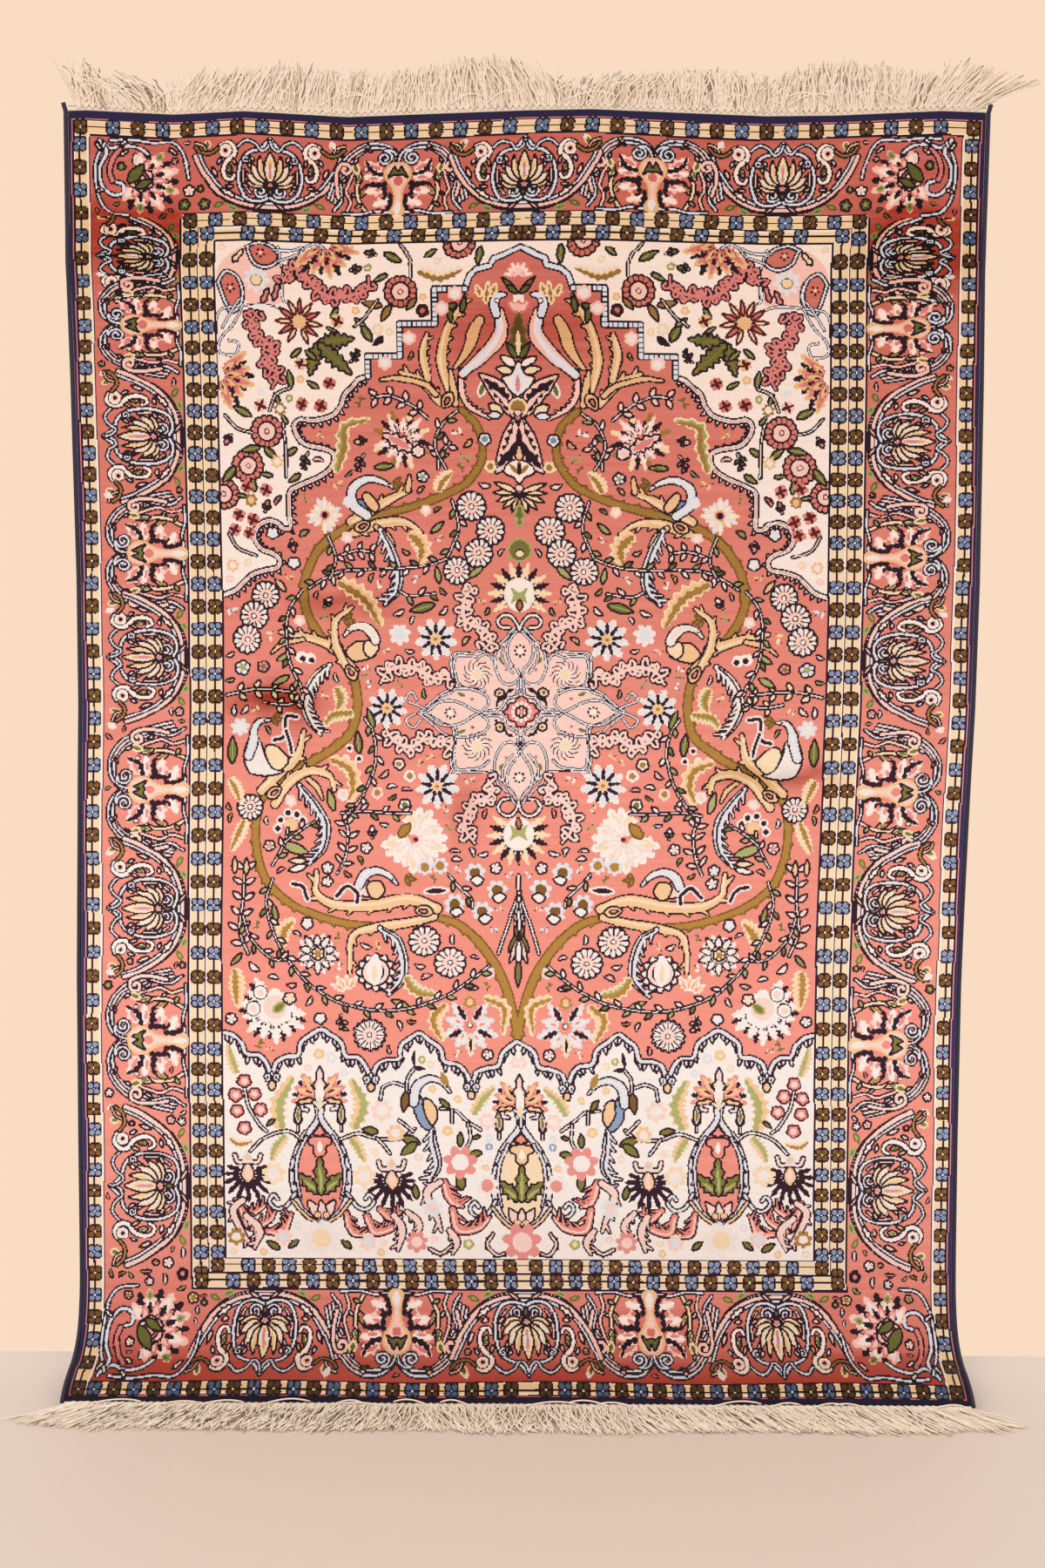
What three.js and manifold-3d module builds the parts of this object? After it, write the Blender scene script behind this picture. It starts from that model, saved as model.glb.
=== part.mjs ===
// A hand-knotted silk rug hung by its top edge. It falls flat for most of its length, bows
// forward near the foot and sweeps out to lie along the floor, with a fringe at each end.
// Millimetres, +Z up. The face looks along -Y and the back lies in the plane y = 0. The origin is
// the middle of the cloth's top edge, where the rug is hung.
import * as THREE from 'three';
import Module from 'manifold-3d';

const wasm = await Module();
wasm.setup();

// Driving sizes of the rug.
const RUG_WIDTH = 1220;
const PILE_LENGTH = 1821;
const CLOTH_THICKNESS = 5;
const SELVEDGE_DIAMETER = 6.4;
const PIECE_GAP = 0.3;
const END_STRIP_LENGTH = 7;
const END_STRIP_THICKNESS = 4;
const TOE_RISE = 8;
const LOCKS_PER_END = 128;
const LOCK_WIDTH = 6;
const UPPER_FRINGE_LENGTH = 68;
const FLOOR_FRINGE_LENGTH = 74;

// How far the cloth has turned from straight down towards straight forward, in degrees, at
// distances down the rug from its top edge.
const FALL = [
  { down: 0, turn: 0 },
  { down: 850, turn: 0 },
  { down: 1100, turn: 1.6 },
  { down: 1300, turn: 3.4 },
  { down: 1540, turn: 4.2 },
  { down: 1590, turn: 8 },
  { down: 1640, turn: 28 },
  { down: 1690, turn: 65 },
  { down: 1735, turn: 86 },
  { down: 1780, turn: 80 },
  { down: 1821, turn: 60 },
];

// How far the top edge hangs below its highest point: the cloth is held at about four places
// and sags a little between them.
const TOP_SAG = [
  { across: -610, drop: 6 },
  { across: -580, drop: 5 },
  { across: -465, drop: 10 },
  { across: -373, drop: 5 },
  { across: -235, drop: 12 },
  { across: -143, drop: 8 },
  { across: 0, drop: 2 },
  { across: 85, drop: 0 },
  { across: 225, drop: 5 },
  { across: 316, drop: 8 },
  { across: 408, drop: 6.5 },
  { across: 545, drop: 0 },
  { across: 610, drop: 2 },
];

// How far the middle of the rug strays sideways on its way down.
const SWAY = [
  { down: 0, shift: 0 },
  { down: 200, shift: -1 },
  { down: 350, shift: 2 },
  { down: 620, shift: 5 },
  { down: 790, shift: 4 },
  { down: 900, shift: 1 },
  { down: 1060, shift: -2.5 },
  { down: 1170, shift: -4.5 },
  { down: 1390, shift: -5 },
  { down: 1600, shift: -4 },
  { down: 1821, shift: -3 },
];

// Soft forward bulges: lines where the rug was folded for storage, and slack between the points
// that hold it. reach and spread are the half sizes across and down.
const BULGES = [
  { across: -520, down: 190, reach: 120, spread: 34, rise: 4 },
  { across: 520, down: 185, reach: 120, spread: 34, rise: 3.5 },
  { across: -235, down: 330, reach: 130, spread: 160, rise: 5 },
  { across: 330, down: 300, reach: 120, spread: 150, rise: 4.5 },
  { across: -230, down: 640, reach: 110, spread: 30, rise: 4 },
  { across: -330, down: 770, reach: 100, spread: 32, rise: 4.5 },
  { across: 330, down: 885, reach: 130, spread: 30, rise: 4.5 },
  { across: 40, down: 1000, reach: 260, spread: 130, rise: 5 },
  { across: -420, down: 1180, reach: 150, spread: 160, rise: 4 },
  { across: 400, down: 1330, reach: 160, spread: 150, rise: 4.5 },
];
const TOP_BAND = 75;
const BULGE_START = 190;
const BULGE_END = 1540;
const TOE_FADE = 140;
const SAG_FADE = 420;

// The way that the fringe is combed, seen from the front: lean is degrees to the right of
// straight up, or of straight forward on the floor, and share is the part of the full length.
const UPPER_COMB = [
  { across: -604, lean: -12, share: 0.95 },
  { across: -570, lean: -14, share: 1 },
  { across: -552, lean: -6, share: 0.6 },
  { across: -530, lean: -30, share: 0.8 },
  { across: -480, lean: -38, share: 0.7 },
  { across: -440, lean: 8, share: 0.8 },
  { across: -330, lean: 20, share: 0.95 },
  { across: -240, lean: 14, share: 0.8 },
  { across: -120, lean: 20, share: 0.85 },
  { across: -60, lean: 4, share: 1 },
  { across: 10, lean: -14, share: 0.95 },
  { across: 60, lean: -12, share: 0.85 },
  { across: 120, lean: 4, share: 0.75 },
  { across: 230, lean: -8, share: 0.8 },
  { across: 300, lean: 8, share: 0.8 },
  { across: 380, lean: 2, share: 0.95 },
  { across: 450, lean: -4, share: 0.8 },
  { across: 500, lean: 24, share: 1 },
  { across: 560, lean: 44, share: 0.9 },
  { across: 604, lean: 60, share: 0.9 },
];
const FLOOR_COMB = [
  { across: -604, lean: -64, share: 1 },
  { across: -560, lean: -56, share: 1 },
  { across: -480, lean: -42, share: 0.95 },
  { across: -400, lean: -28, share: 0.9 },
  { across: -320, lean: -8, share: 0.85 },
  { across: -250, lean: -20, share: 0.95 },
  { across: -150, lean: -4, share: 0.85 },
  { across: -60, lean: 16, share: 0.95 },
  { across: 10, lean: -6, share: 0.95 },
  { across: 110, lean: 12, share: 1 },
  { across: 200, lean: 32, share: 0.9 },
  { across: 270, lean: 14, share: 0.8 },
  { across: 330, lean: 36, share: 0.95 },
  { across: 430, lean: 26, share: 1 },
  { across: 510, lean: 36, share: 0.95 },
  { across: 560, lean: 50, share: 1 },
  { across: 604, lean: 68, share: 1 },
];

const radians = THREE.MathUtils.degToRad;
const smooth = THREE.MathUtils.smoothstep;

// Value of one column of a table at a place between its rows.
function column(table, place, along, name) {
  const after = table.findIndex((row) => row[along] >= place);
  if (after === 0) return table[0][name];
  if (after < 0) return table[table.length - 1][name];
  const low = table[after - 1];
  const high = table[after];
  return low[name] + ((place - low[along]) / (high[along] - low[along])) * (high[name] - low[name]);
}

// The line down the rug, walked in short steps: how far forward and how far down it has come.
const STEP = 1;
const walk = [{ forward: 0, fall: 0 }];
for (let down = 0; down < PILE_LENGTH + END_STRIP_LENGTH + STEP; down += STEP) {
  const turn = radians(column(FALL, down + STEP / 2, 'down', 'turn'));
  const last = walk[walk.length - 1];
  walk.push({
    forward: last.forward + STEP * Math.sin(turn),
    fall: last.fall + STEP * Math.cos(turn),
  });
}

function walked(down, name) {
  const low = Math.floor(down / STEP);
  const share = down / STEP - low;
  return walk[low][name] * (1 - share) + walk[low + 1][name] * share;
}

function bulge(across, down) {
  const shape = BULGES.reduce((sum, row) => {
    const side = (across - row.across) / row.reach;
    const drop = (down - row.down) / row.spread;
    return sum + row.rise * Math.exp(-side * side - drop * drop);
  }, 0);
  const above = smooth(down, TOP_BAND, BULGE_START);
  const below = 1 - smooth(down, BULGE_END, BULGE_END + TOE_FADE);
  return shape * above * below;
}

// A point of the rug: across from the middle, down from the top edge, and out from the middle of
// the cloth's thickness towards the face.
function clothPoint(across, down, out) {
  const reach = Math.max(down, 0);
  const turn = radians(column(FALL, reach, 'down', 'turn'));
  const sag = column(TOP_SAG, across, 'across', 'drop') * (1 - smooth(reach, 0, SAG_FADE));
  const lift = out + bulge(across, reach);
  return new THREE.Vector3(
    across + column(SWAY, reach, 'down', 'shift'),
    -CLOTH_THICKNESS / 2 - walked(reach, 'forward') - lift * Math.cos(turn),
    (reach - down) - walked(reach, 'fall') - sag + lift * Math.sin(turn),
  );
}

// Height of the floor: the toe's underside is propped a little above it by the fringe.
const FLOOR = clothPoint(0, PILE_LENGTH, -CLOTH_THICKNESS / 2).z - TOE_RISE;

function meshOf(points, corners) {
  const geometry = new THREE.BufferGeometry();
  geometry.setAttribute('position', new THREE.Float32BufferAttribute(points.flatMap((p) => p.toArray()), 3));
  geometry.setIndex(corners.flat());
  return geometry;
}

// Joins like rings of points into one closed skin. Each ring runs anticlockwise as seen from
// the side that the next ring is on, and the two end rings are closed by fans.
function loft(rings) {
  const count = rings[0].length;
  const corners = [];
  for (let ring = 0; ring + 1 < rings.length; ring += 1) {
    for (let side = 0; side < count; side += 1) {
      const next = (side + 1) % count;
      const a = ring * count + side;
      const b = ring * count + next;
      corners.push([a, b, b + count], [a, b + count, a + count]);
    }
  }
  const last = (rings.length - 1) * count;
  for (let side = 1; side + 1 < count; side += 1) {
    corners.push([0, side + 1, side], [last, last + side, last + side + 1]);
  }
  return meshOf(rings.flat(), corners);
}

// A strip of cloth as a grid of cells with a front, a back and four edges.
function slab(acrossSteps, downSteps, pointAt) {
  const columns = acrossSteps.length;
  const front = (row, step) => row * columns + step;
  const total = columns * downSteps.length;
  const points = [];
  for (const face of [1, -1]) {
    for (const down of downSteps) {
      for (const across of acrossSteps) points.push(pointAt(across, down, face));
    }
  }
  const corners = [];
  for (let row = 0; row + 1 < downSteps.length; row += 1) {
    for (let step = 0; step + 1 < columns; step += 1) {
      const [a, b] = [front(row, step), front(row, step + 1)];
      const [c, d] = [front(row + 1, step), front(row + 1, step + 1)];
      corners.push([a, c, d], [a, d, b]);
      corners.push([a + total, d + total, c + total], [a + total, b + total, d + total]);
    }
  }
  const edge = (a, b) => corners.push([a, b, b + total], [a, b + total, a + total]);
  for (let step = 0; step + 1 < columns; step += 1) {
    edge(front(0, step), front(0, step + 1));
    edge(front(downSteps.length - 1, step + 1), front(downSteps.length - 1, step));
  }
  for (let row = 0; row + 1 < downSteps.length; row += 1) {
    edge(front(row + 1, 0), front(row, 0));
    edge(front(row, columns - 1), front(row + 1, columns - 1));
  }
  return meshOf(points, corners);
}

function spaced(from, to, count) {
  return Array.from({ length: count + 1 }, (_, step) => from + ((to - from) * step) / count);
}

// Steps down the rug: wide on the flat fall, close on the sweep at the foot.
const FLAT_STEPS = 32;
const SWEEP_STEPS = 21;
const SWEEP_START = 1560;
const DOWN_STEPS = [
  ...spaced(0, SWEEP_START, FLAT_STEPS),
  ...spaced(SWEEP_START, PILE_LENGTH, SWEEP_STEPS).slice(1),
];

const clothHalf = RUG_WIDTH / 2 - SELVEDGE_DIAMETER - PIECE_GAP;

// The cloth with its pile: one sheet of even thickness.
function clothSheet() {
  const ACROSS_CELLS = 26;
  return slab(spaced(-clothHalf, clothHalf, ACROSS_CELLS), DOWN_STEPS, (across, down, face) => (
    clothPoint(across, down, (face * CLOTH_THICKNESS) / 2)
  ));
}

// The overcast side cord, with the end that stands up past the top corner.
function selvedge(side) {
  const SIDES = 8;
  const STUB_HEIGHT = 11;
  const STUB_LEAN = 3;
  const radius = SELVEDGE_DIAMETER / 2;
  const middle = RUG_WIDTH / 2 - radius;
  const ring = (down) => {
    const turn = radians(column(FALL, Math.max(down, 0), 'down', 'turn'));
    const lean = side * STUB_LEAN * Math.max(-down / STUB_HEIGHT, 0);
    const centre = clothPoint(side * middle, down, 0);
    return Array.from({ length: SIDES }, (_, step) => {
      const angle = ((step + 0.5) / SIDES) * Math.PI * 2;
      const out = radius * Math.sin(angle);
      return new THREE.Vector3(
        centre.x + lean + radius * Math.cos(angle),
        Math.min(centre.y - out * Math.cos(turn), 0),
        centre.z + out * Math.sin(turn),
      );
    });
  };
  return loft([-STUB_HEIGHT, ...DOWN_STEPS].map(ring));
}

// One lock of twisted yarn: three-sided sections, flat below or behind and ridged on top.
// A path row holds the section's middle, half width along side, and the ridge's offset.
function lock(path) {
  return loft(path.map(({ middle, side, ridge }) => [
    middle.clone().sub(side),
    middle.clone().add(side),
    middle.clone().add(ridge),
  ]));
}

function asSolid(geometry) {
  return new wasm.Manifold(new wasm.Mesh({
    numProp: 3,
    vertProperties: new Float32Array(geometry.attributes.position.array),
    triVerts: new Uint32Array(geometry.index.array),
  }));
}

function fused(geometries) {
  const whole = geometries.map(asSolid).reduce((sum, solid) => sum.add(solid)).getMesh();
  const geometry = new THREE.BufferGeometry();
  geometry.setAttribute('position', new THREE.BufferAttribute(new Float32Array(whole.vertProperties), 3));
  geometry.setIndex(new THREE.BufferAttribute(new Uint32Array(whole.triVerts), 1));
  return geometry;
}

// Roots and slopes of the locks of one end, from its comb table. Neighbours may draw together
// by no more than CLOSING, so that they stand apart to their tips.
function combed(comb) {
  const CLOSING = 0.055;
  const ROOT_INSET = 14;
  const UNEVEN_ENDS = [{ size: 0.06, pace: 2.4 }, { size: 0.04, pace: 0.9 }];
  const rootHalf = clothHalf - ROOT_INSET;
  let slope = -Infinity;
  return spaced(-rootHalf, rootHalf, LOCKS_PER_END - 1).map((across, index) => {
    const wanted = Math.tan(radians(column(comb, across, 'across', 'lean')));
    slope = Math.max(wanted, slope - CLOSING);
    const lean = Math.atan(slope);
    const uneven = UNEVEN_ENDS.reduce((sum, { size, pace }) => sum + size * Math.sin(index * pace), 1);
    return {
      across,
      slope,
      thin: Math.cos(lean),
      length: column(comb, across, 'across', 'share') * uneven * Math.cos(lean),
    };
  });
}

// The upper fringe: a flat-woven strip along the top edge, and locks that stand up from it
// against the wall.
function upperFringe() {
  const STRIP_CELLS = 26;
  const low = -PIECE_GAP;
  const high = -PIECE_GAP - END_STRIP_LENGTH;
  const half = END_STRIP_THICKNESS / 2;
  const strip = slab(spaced(-clothHalf, clothHalf, STRIP_CELLS), [high, low], (across, down, face) => (
    clothPoint(across, down, face * half)
  ));
  const SECTIONS = [
    { along: 0, wide: 0.8, bend: 0 },
    { along: 0.34, wide: 1, bend: 0.22 },
    { along: 0.7, wide: 0.9, bend: 0.62 },
    { along: 1, wide: 0.45, bend: 1 },
  ];
  const ROOT_DEPTH = 4;
  const LOCK_HEIGHT = 3.2;
  const locks = combed(UPPER_COMB).map(({ across, slope, thin, length }) => {
    const rise = UPPER_FRINGE_LENGTH * length;
    return lock(SECTIONS.map(({ along, wide, bend }) => {
      const middle = clothPoint(across, high + ROOT_DEPTH - along * rise, 0);
      middle.x += slope * bend * rise;
      middle.y = -CLOTH_THICKNESS / 2 + LOCK_HEIGHT / 2;
      return {
        middle,
        side: new THREE.Vector3((-LOCK_WIDTH / 2) * wide * thin, 0, 0),
        ridge: new THREE.Vector3(0, -LOCK_HEIGHT * wide, 0),
      };
    }));
  });
  return fused([strip, ...locks]);
}

// The lower fringe: the same strip along the toe, and locks that drop from it to the floor and
// lie level on it, fanning out sideways past both corners.
function floorFringe() {
  const start = PILE_LENGTH + PIECE_GAP;
  const half = END_STRIP_THICKNESS / 2;
  const STRIP_CELLS = 4;
  const strip = slab(spaced(-clothHalf, clothHalf, STRIP_CELLS), [start, start + END_STRIP_LENGTH], (
    across,
    down,
    face,
  ) => clothPoint(across, down, face * half));
  const SECTIONS = [
    { along: 0, height: 1, wide: 0.8, tall: 0.9 },
    { along: 0.22, height: 0.62, wide: 1, tall: 1 },
    { along: 0.42, height: 0, wide: 1, tall: 1 },
    { along: 1, height: 0, wide: 0.5, tall: 0.6 },
  ];
  const ROOT_DEPTH = 4;
  const LOCK_HEIGHT = 4.2;
  const root = clothPoint(0, start + END_STRIP_LENGTH - ROOT_DEPTH, -half);
  const locks = combed(FLOOR_COMB).map(({ across, slope, thin, length }) => {
    const reach = FLOOR_FRINGE_LENGTH * length;
    return lock(SECTIONS.map(({ along, height, wide, tall }) => ({
      middle: new THREE.Vector3(
        across + column(SWAY, PILE_LENGTH, 'down', 'shift') + slope * along * reach,
        root.y - along * reach,
        FLOOR + height * (root.z - FLOOR),
      ),
      side: new THREE.Vector3((LOCK_WIDTH / 2) * wide * thin, 0, 0),
      ridge: new THREE.Vector3(0, 0, LOCK_HEIGHT * tall),
    })));
  });
  return fused([strip, ...locks]);
}

const silkPile = { color: 0xc0604c, roughness: 0.55, metalness: 0 };
const navyYarn = { color: 0x221f33, roughness: 0.8, metalness: 0 };
const cottonYarn = { color: 0xd9c3a8, roughness: 0.9, metalness: 0 };

const rug = new THREE.Group();
function addPiece(name, geometry, finish) {
  const piece = new THREE.Mesh(geometry, new THREE.MeshStandardMaterial(finish));
  piece.name = name;
  rug.add(piece);
}

addPiece('cloth', clothSheet(), silkPile);
addPiece('selvedge_left', selvedge(-1), navyYarn);
addPiece('selvedge_right', selvedge(1), navyYarn);
addPiece('fringe_upper', upperFringe(), cottonYarn);
addPiece('fringe_floor', floorFringe(), cottonYarn);

export default rug;
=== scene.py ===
import math

import bpy
import numpy as np
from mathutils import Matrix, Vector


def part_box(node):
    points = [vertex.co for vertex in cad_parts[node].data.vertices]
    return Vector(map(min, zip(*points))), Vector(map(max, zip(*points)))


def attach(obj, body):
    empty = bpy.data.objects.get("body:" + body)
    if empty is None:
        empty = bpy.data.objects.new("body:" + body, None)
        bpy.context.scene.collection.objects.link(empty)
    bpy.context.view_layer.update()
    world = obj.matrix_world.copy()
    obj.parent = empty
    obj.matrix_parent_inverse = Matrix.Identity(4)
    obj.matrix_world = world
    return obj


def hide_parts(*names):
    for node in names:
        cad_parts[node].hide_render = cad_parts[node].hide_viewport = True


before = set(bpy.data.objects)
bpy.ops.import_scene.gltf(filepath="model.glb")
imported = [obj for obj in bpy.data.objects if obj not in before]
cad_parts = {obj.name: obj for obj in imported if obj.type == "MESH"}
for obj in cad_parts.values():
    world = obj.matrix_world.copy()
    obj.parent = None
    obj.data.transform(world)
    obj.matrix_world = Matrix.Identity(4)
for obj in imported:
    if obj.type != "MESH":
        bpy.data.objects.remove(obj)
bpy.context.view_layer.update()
scene = bpy.context.scene

# The pile
# Silk knots tied row by row on the warps and clipped level, so each knot is one spot of colour.
# The sheet hangs from its top edge, bulges softly where it was folded and sweeps out at its foot.
RUG_WIDTH = 1.220
PILE_LENGTH = 1.821
CLOTH_THICKNESS = 0.005
SELVEDGE_RADIUS = 0.0032
PIECE_GAP = 0.0003
CLOTH_HALF = RUG_WIDTH / 2 - 2 * SELVEDGE_RADIUS - PIECE_GAP

# How far the cloth has turned towards the room, in degrees, at distances down it in millimetres.
FALL_DOWN = (0, 850, 1100, 1300, 1540, 1590, 1640, 1690, 1735, 1780, 1821)
FALL_TURN = (0, 0, 1.6, 3.4, 4.2, 8, 28, 65, 86, 80, 60)
# How far the top edge sags between its holds, at distances across in millimetres.
SAG_ACROSS = (-610, -580, -465, -373, -235, -143, 0, 85, 225, 316, 408, 545, 610)
SAG_DROP = (6, 5, 10, 5, 12, 8, 2, 0, 5, 8, 6.5, 0, 2)
# How far the middle strays sideways on the way down.
SWAY_DOWN = (0, 200, 350, 620, 790, 900, 1060, 1170, 1390, 1600, 1821)
SWAY_SHIFT = (0, -1, 2, 5, 4, 1, -2.5, -4.5, -5, -4, -3)
# Soft bulges in millimetres: across, down, half width, half height and rise.
BULGES = ((-520, 190, 120, 34, 4), (520, 185, 120, 34, 3.5), (-235, 330, 130, 160, 5),
    (330, 300, 120, 150, 4.5), (-230, 640, 110, 30, 4), (-330, 770, 100, 32, 4.5), (330, 885, 130, 30, 4.5),
    (40, 1000, 260, 130, 5), (-420, 1180, 150, 160, 4), (400, 1330, 160, 150, 4.5))


def smooth_step(value, low, high):
    """A smooth rise from 0 at the low value to 1 at the high one."""
    share = np.clip((value - low) / (high - low), 0, 1)
    return share * share * (3 - 2 * share)


def cloth_turn(down):
    """Turn of the cloth from straight down, in radians, at a distance down it in metres."""
    return np.radians(np.interp(np.maximum(down, 0) * 1000, FALL_DOWN, FALL_TURN))


# The fall of the cloth is walked in short steps, on past its toe for the fringe.
WALK_STEP = 0.001
WALK_PAST = 0.06
walk_down = np.arange(0, PILE_LENGTH + WALK_PAST, WALK_STEP)
walk_turn = cloth_turn(walk_down + WALK_STEP / 2)
walk_forward = np.concatenate(((0,), np.cumsum(WALK_STEP * np.sin(walk_turn))[:-1]))
walk_fall = np.concatenate(((0,), np.cumsum(WALK_STEP * np.cos(walk_turn))[:-1]))
# The sag dies out down to this place, and the bulges swell and die out between these, in metres.
SAG_END = 0.42
BULGES_START = (0.075, 0.19)
BULGES_END = (1.54, 1.68)


def cloth_point(across, down, out):
    """A point of the rug: across, down from the top edge, and out from mid thickness, in metres."""
    across, down, out = np.broadcast_arrays(across, down, out)
    reach = np.maximum(down, 0)
    turn = cloth_turn(reach)
    sag = np.interp(across * 1000, SAG_ACROSS, SAG_DROP) / 1000 * (1 - smooth_step(reach, 0, SAG_END))
    bulge = np.zeros(across.shape)
    for middle, level, wide, tall, rise in BULGES:
        bulge = bulge + rise / 1000 * np.exp(
            -((across * 1000 - middle) / wide) ** 2 - ((reach * 1000 - level) / tall) ** 2)
    bulge = bulge * smooth_step(reach, *BULGES_START) * (1 - smooth_step(reach, *BULGES_END))
    lift = out + bulge
    x = across + np.interp(reach * 1000, SWAY_DOWN, SWAY_SHIFT) / 1000
    y = -CLOTH_THICKNESS / 2 - np.interp(reach, walk_down, walk_forward) - lift * np.cos(turn)
    z = (reach - down) - np.interp(reach, walk_down, walk_fall) - sag + lift * np.sin(turn)
    return np.stack((x, y, z), axis=-1)


# The pattern of the pile
# The weaver's chart holds one colour number for every knot of the left half; the right half mirrors it.
# Its places are millimetres on the flat rug, across from the middle line and down from the top edge.
PILE_WIDTH = 1206.6
DESIGN_LENGTH = 1745.0
KNOT_COLUMNS = 864
KNOT_ROWS = 1296
HALF_COLUMNS = KNOT_COLUMNS // 2
KNOT_ACROSS = PILE_WIDTH / KNOT_COLUMNS
KNOT_DOWN = DESIGN_LENGTH / KNOT_ROWS
(NAVY, GUARD, IVORY, CORAL, INDIGO, PINK, STEEL, MIST, BROWN, OCHRE, OLIVE, SAGE, PEACH, ROSE, WINE,
    PEARL) = range(16)
# How far the dark outline reaches to both sides of a form's edge, and past the edge of a line.
EDGE = 1.45
LINE_EDGE = 2.35
PATH_STEP = 0.7

chart = np.full((KNOT_ROWS, HALF_COLUMNS), CORAL, dtype=np.int64)


def on_rug(points, place):
    """Points of a motif's own frame, with its tip up, as places across and down the rug."""
    points = np.asarray(points, dtype=float)
    if place is None:
        return points
    across, down, turn, wide, tall = place
    cosine = math.cos(math.radians(turn))
    sine = math.sin(math.radians(turn))
    x = points[:, 0] * wide
    y = points[:, 1] * tall
    return np.column_stack((across + x * cosine - y * sine, down - x * sine - y * cosine))


def curve(points, closed=False):
    """A smooth line through the points, in short even steps."""
    points = np.asarray(points, dtype=float)
    if closed:
        points = np.vstack((points[-1:], points, points[:2]))
    else:
        points = np.vstack((2 * points[:1] - points[1:2], points, 2 * points[-1:] - points[-2:-1]))
    pieces = []
    for before, start, end, after in zip(points[:-3], points[1:-2], points[2:-1], points[3:]):
        count = max(2, int(math.ceil(np.hypot(*(end - start)) / PATH_STEP)))
        t = np.arange(count)[:, None] / count
        rounding = (2 * before - 5 * start + 4 * end - after) * t ** 2
        easing = (3 * start - before - 3 * end + after) * t ** 3
        pieces.append(0.5 * (2 * start + (end - before) * t + rounding + easing))
    if not closed:
        pieces.append(points[-2:-1])
    return np.vstack(pieces)


def straight(points, closed=False):
    """The same for a line with corners."""
    points = np.asarray(points, dtype=float)
    if closed:
        points = np.vstack((points, points[:1]))
    pieces = []
    for start, end in zip(points[:-1], points[1:]):
        count = max(2, int(math.ceil(np.hypot(*(end - start)) / PATH_STEP)))
        t = np.arange(count)[:, None] / count
        pieces.append(start + (end - start) * t)
    pieces.append(points[-1:])
    return np.vstack(pieces)


def lay(path, radius, colour):
    """Gives a colour to the knots within a radius of a path."""
    radius = np.broadcast_to(radius, len(path))[:, None, None]
    reach = int(math.ceil(radius.max() / KNOT_DOWN)) + 1
    offsets = np.arange(-reach, reach + 1)
    columns = np.floor((path[:, 0] + PILE_WIDTH / 2) / KNOT_ACROSS).astype(int)
    columns = columns[:, None, None] + offsets[None, None, :]
    rows = np.floor(path[:, 1] / KNOT_DOWN).astype(int)
    rows = rows[:, None, None] + offsets[None, :, None]
    beside = (columns + 0.5) * KNOT_ACROSS - PILE_WIDTH / 2 - path[:, 0][:, None, None]
    below = (rows + 0.5) * KNOT_DOWN - path[:, 1][:, None, None]
    near = beside ** 2 + below ** 2 <= radius ** 2
    near &= (columns >= 0) & (columns < HALF_COLUMNS) & (rows >= 0) & (rows < KNOT_ROWS)
    columns, rows = np.broadcast_arrays(columns, rows)
    chart[rows[near], columns[near]] = colour


def fill(outline, colour):
    """Gives a colour to the knots inside a closed outline."""
    first_row = max(0, int(outline[:, 1].min() / KNOT_DOWN))
    last_row = min(KNOT_ROWS, int(outline[:, 1].max() / KNOT_DOWN) + 1)
    first_column = max(0, int((outline[:, 0].min() + PILE_WIDTH / 2) / KNOT_ACROSS))
    last_column = min(HALF_COLUMNS, int((outline[:, 0].max() + PILE_WIDTH / 2) / KNOT_ACROSS) + 1)
    if last_row <= first_row or last_column <= first_column:
        return
    across = (np.arange(first_column, last_column) + 0.5) * KNOT_ACROSS - PILE_WIDTH / 2
    following = np.roll(outline, -1, axis=0)
    for row in range(first_row, last_row):
        down = (row + 0.5) * KNOT_DOWN
        crosses = (outline[:, 1] <= down) != (following[:, 1] <= down)
        start = outline[crosses]
        end = following[crosses]
        where = start[:, 0] + (down - start[:, 1]) / (end[:, 1] - start[:, 1]) * (end[:, 0] - start[:, 0])
        inside = (where[:, None] < across[None, :]).sum(axis=0) % 2 == 1
        chart[row, first_column:last_column][inside] = colour


def line(points, width, colour, place=None, edge=NAVY, taper=(1, 1), cornered=False):
    """A band of one colour with a dark line along both sides."""
    points = on_rug(points, place)
    path = straight(points) if cornered else curve(points)
    along = np.linspace(0, 1, len(path))
    half = width / 2 * np.interp(along, (0, 0.5, 1), (taper[0], 1, taper[1]))
    if edge is not None:
        lay(path, half + LINE_EDGE, edge)
    lay(path, half, colour)


def fine_line(points, place=None):
    """A pale line one knot wide between dark edges."""
    path = curve(on_rug(points, place))
    lay(path, 2.15, NAVY)
    lay(path, 0.95, MIST)


def shape(points, colour, place=None, edge=NAVY, cornered=False):
    """A filled form with a dark line round it."""
    points = on_rug(points, place)
    outline = straight(points, True) if cornered else curve(points, True)
    fill(outline, colour)
    if edge is not None:
        lay(outline, EDGE, edge)


def both(points):
    """A form that is the same on both sides of its middle: the points are one side, top to foot."""
    return list(points) + [(-x, y) for x, y in reversed(points) if abs(x) > 0.01]


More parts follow.
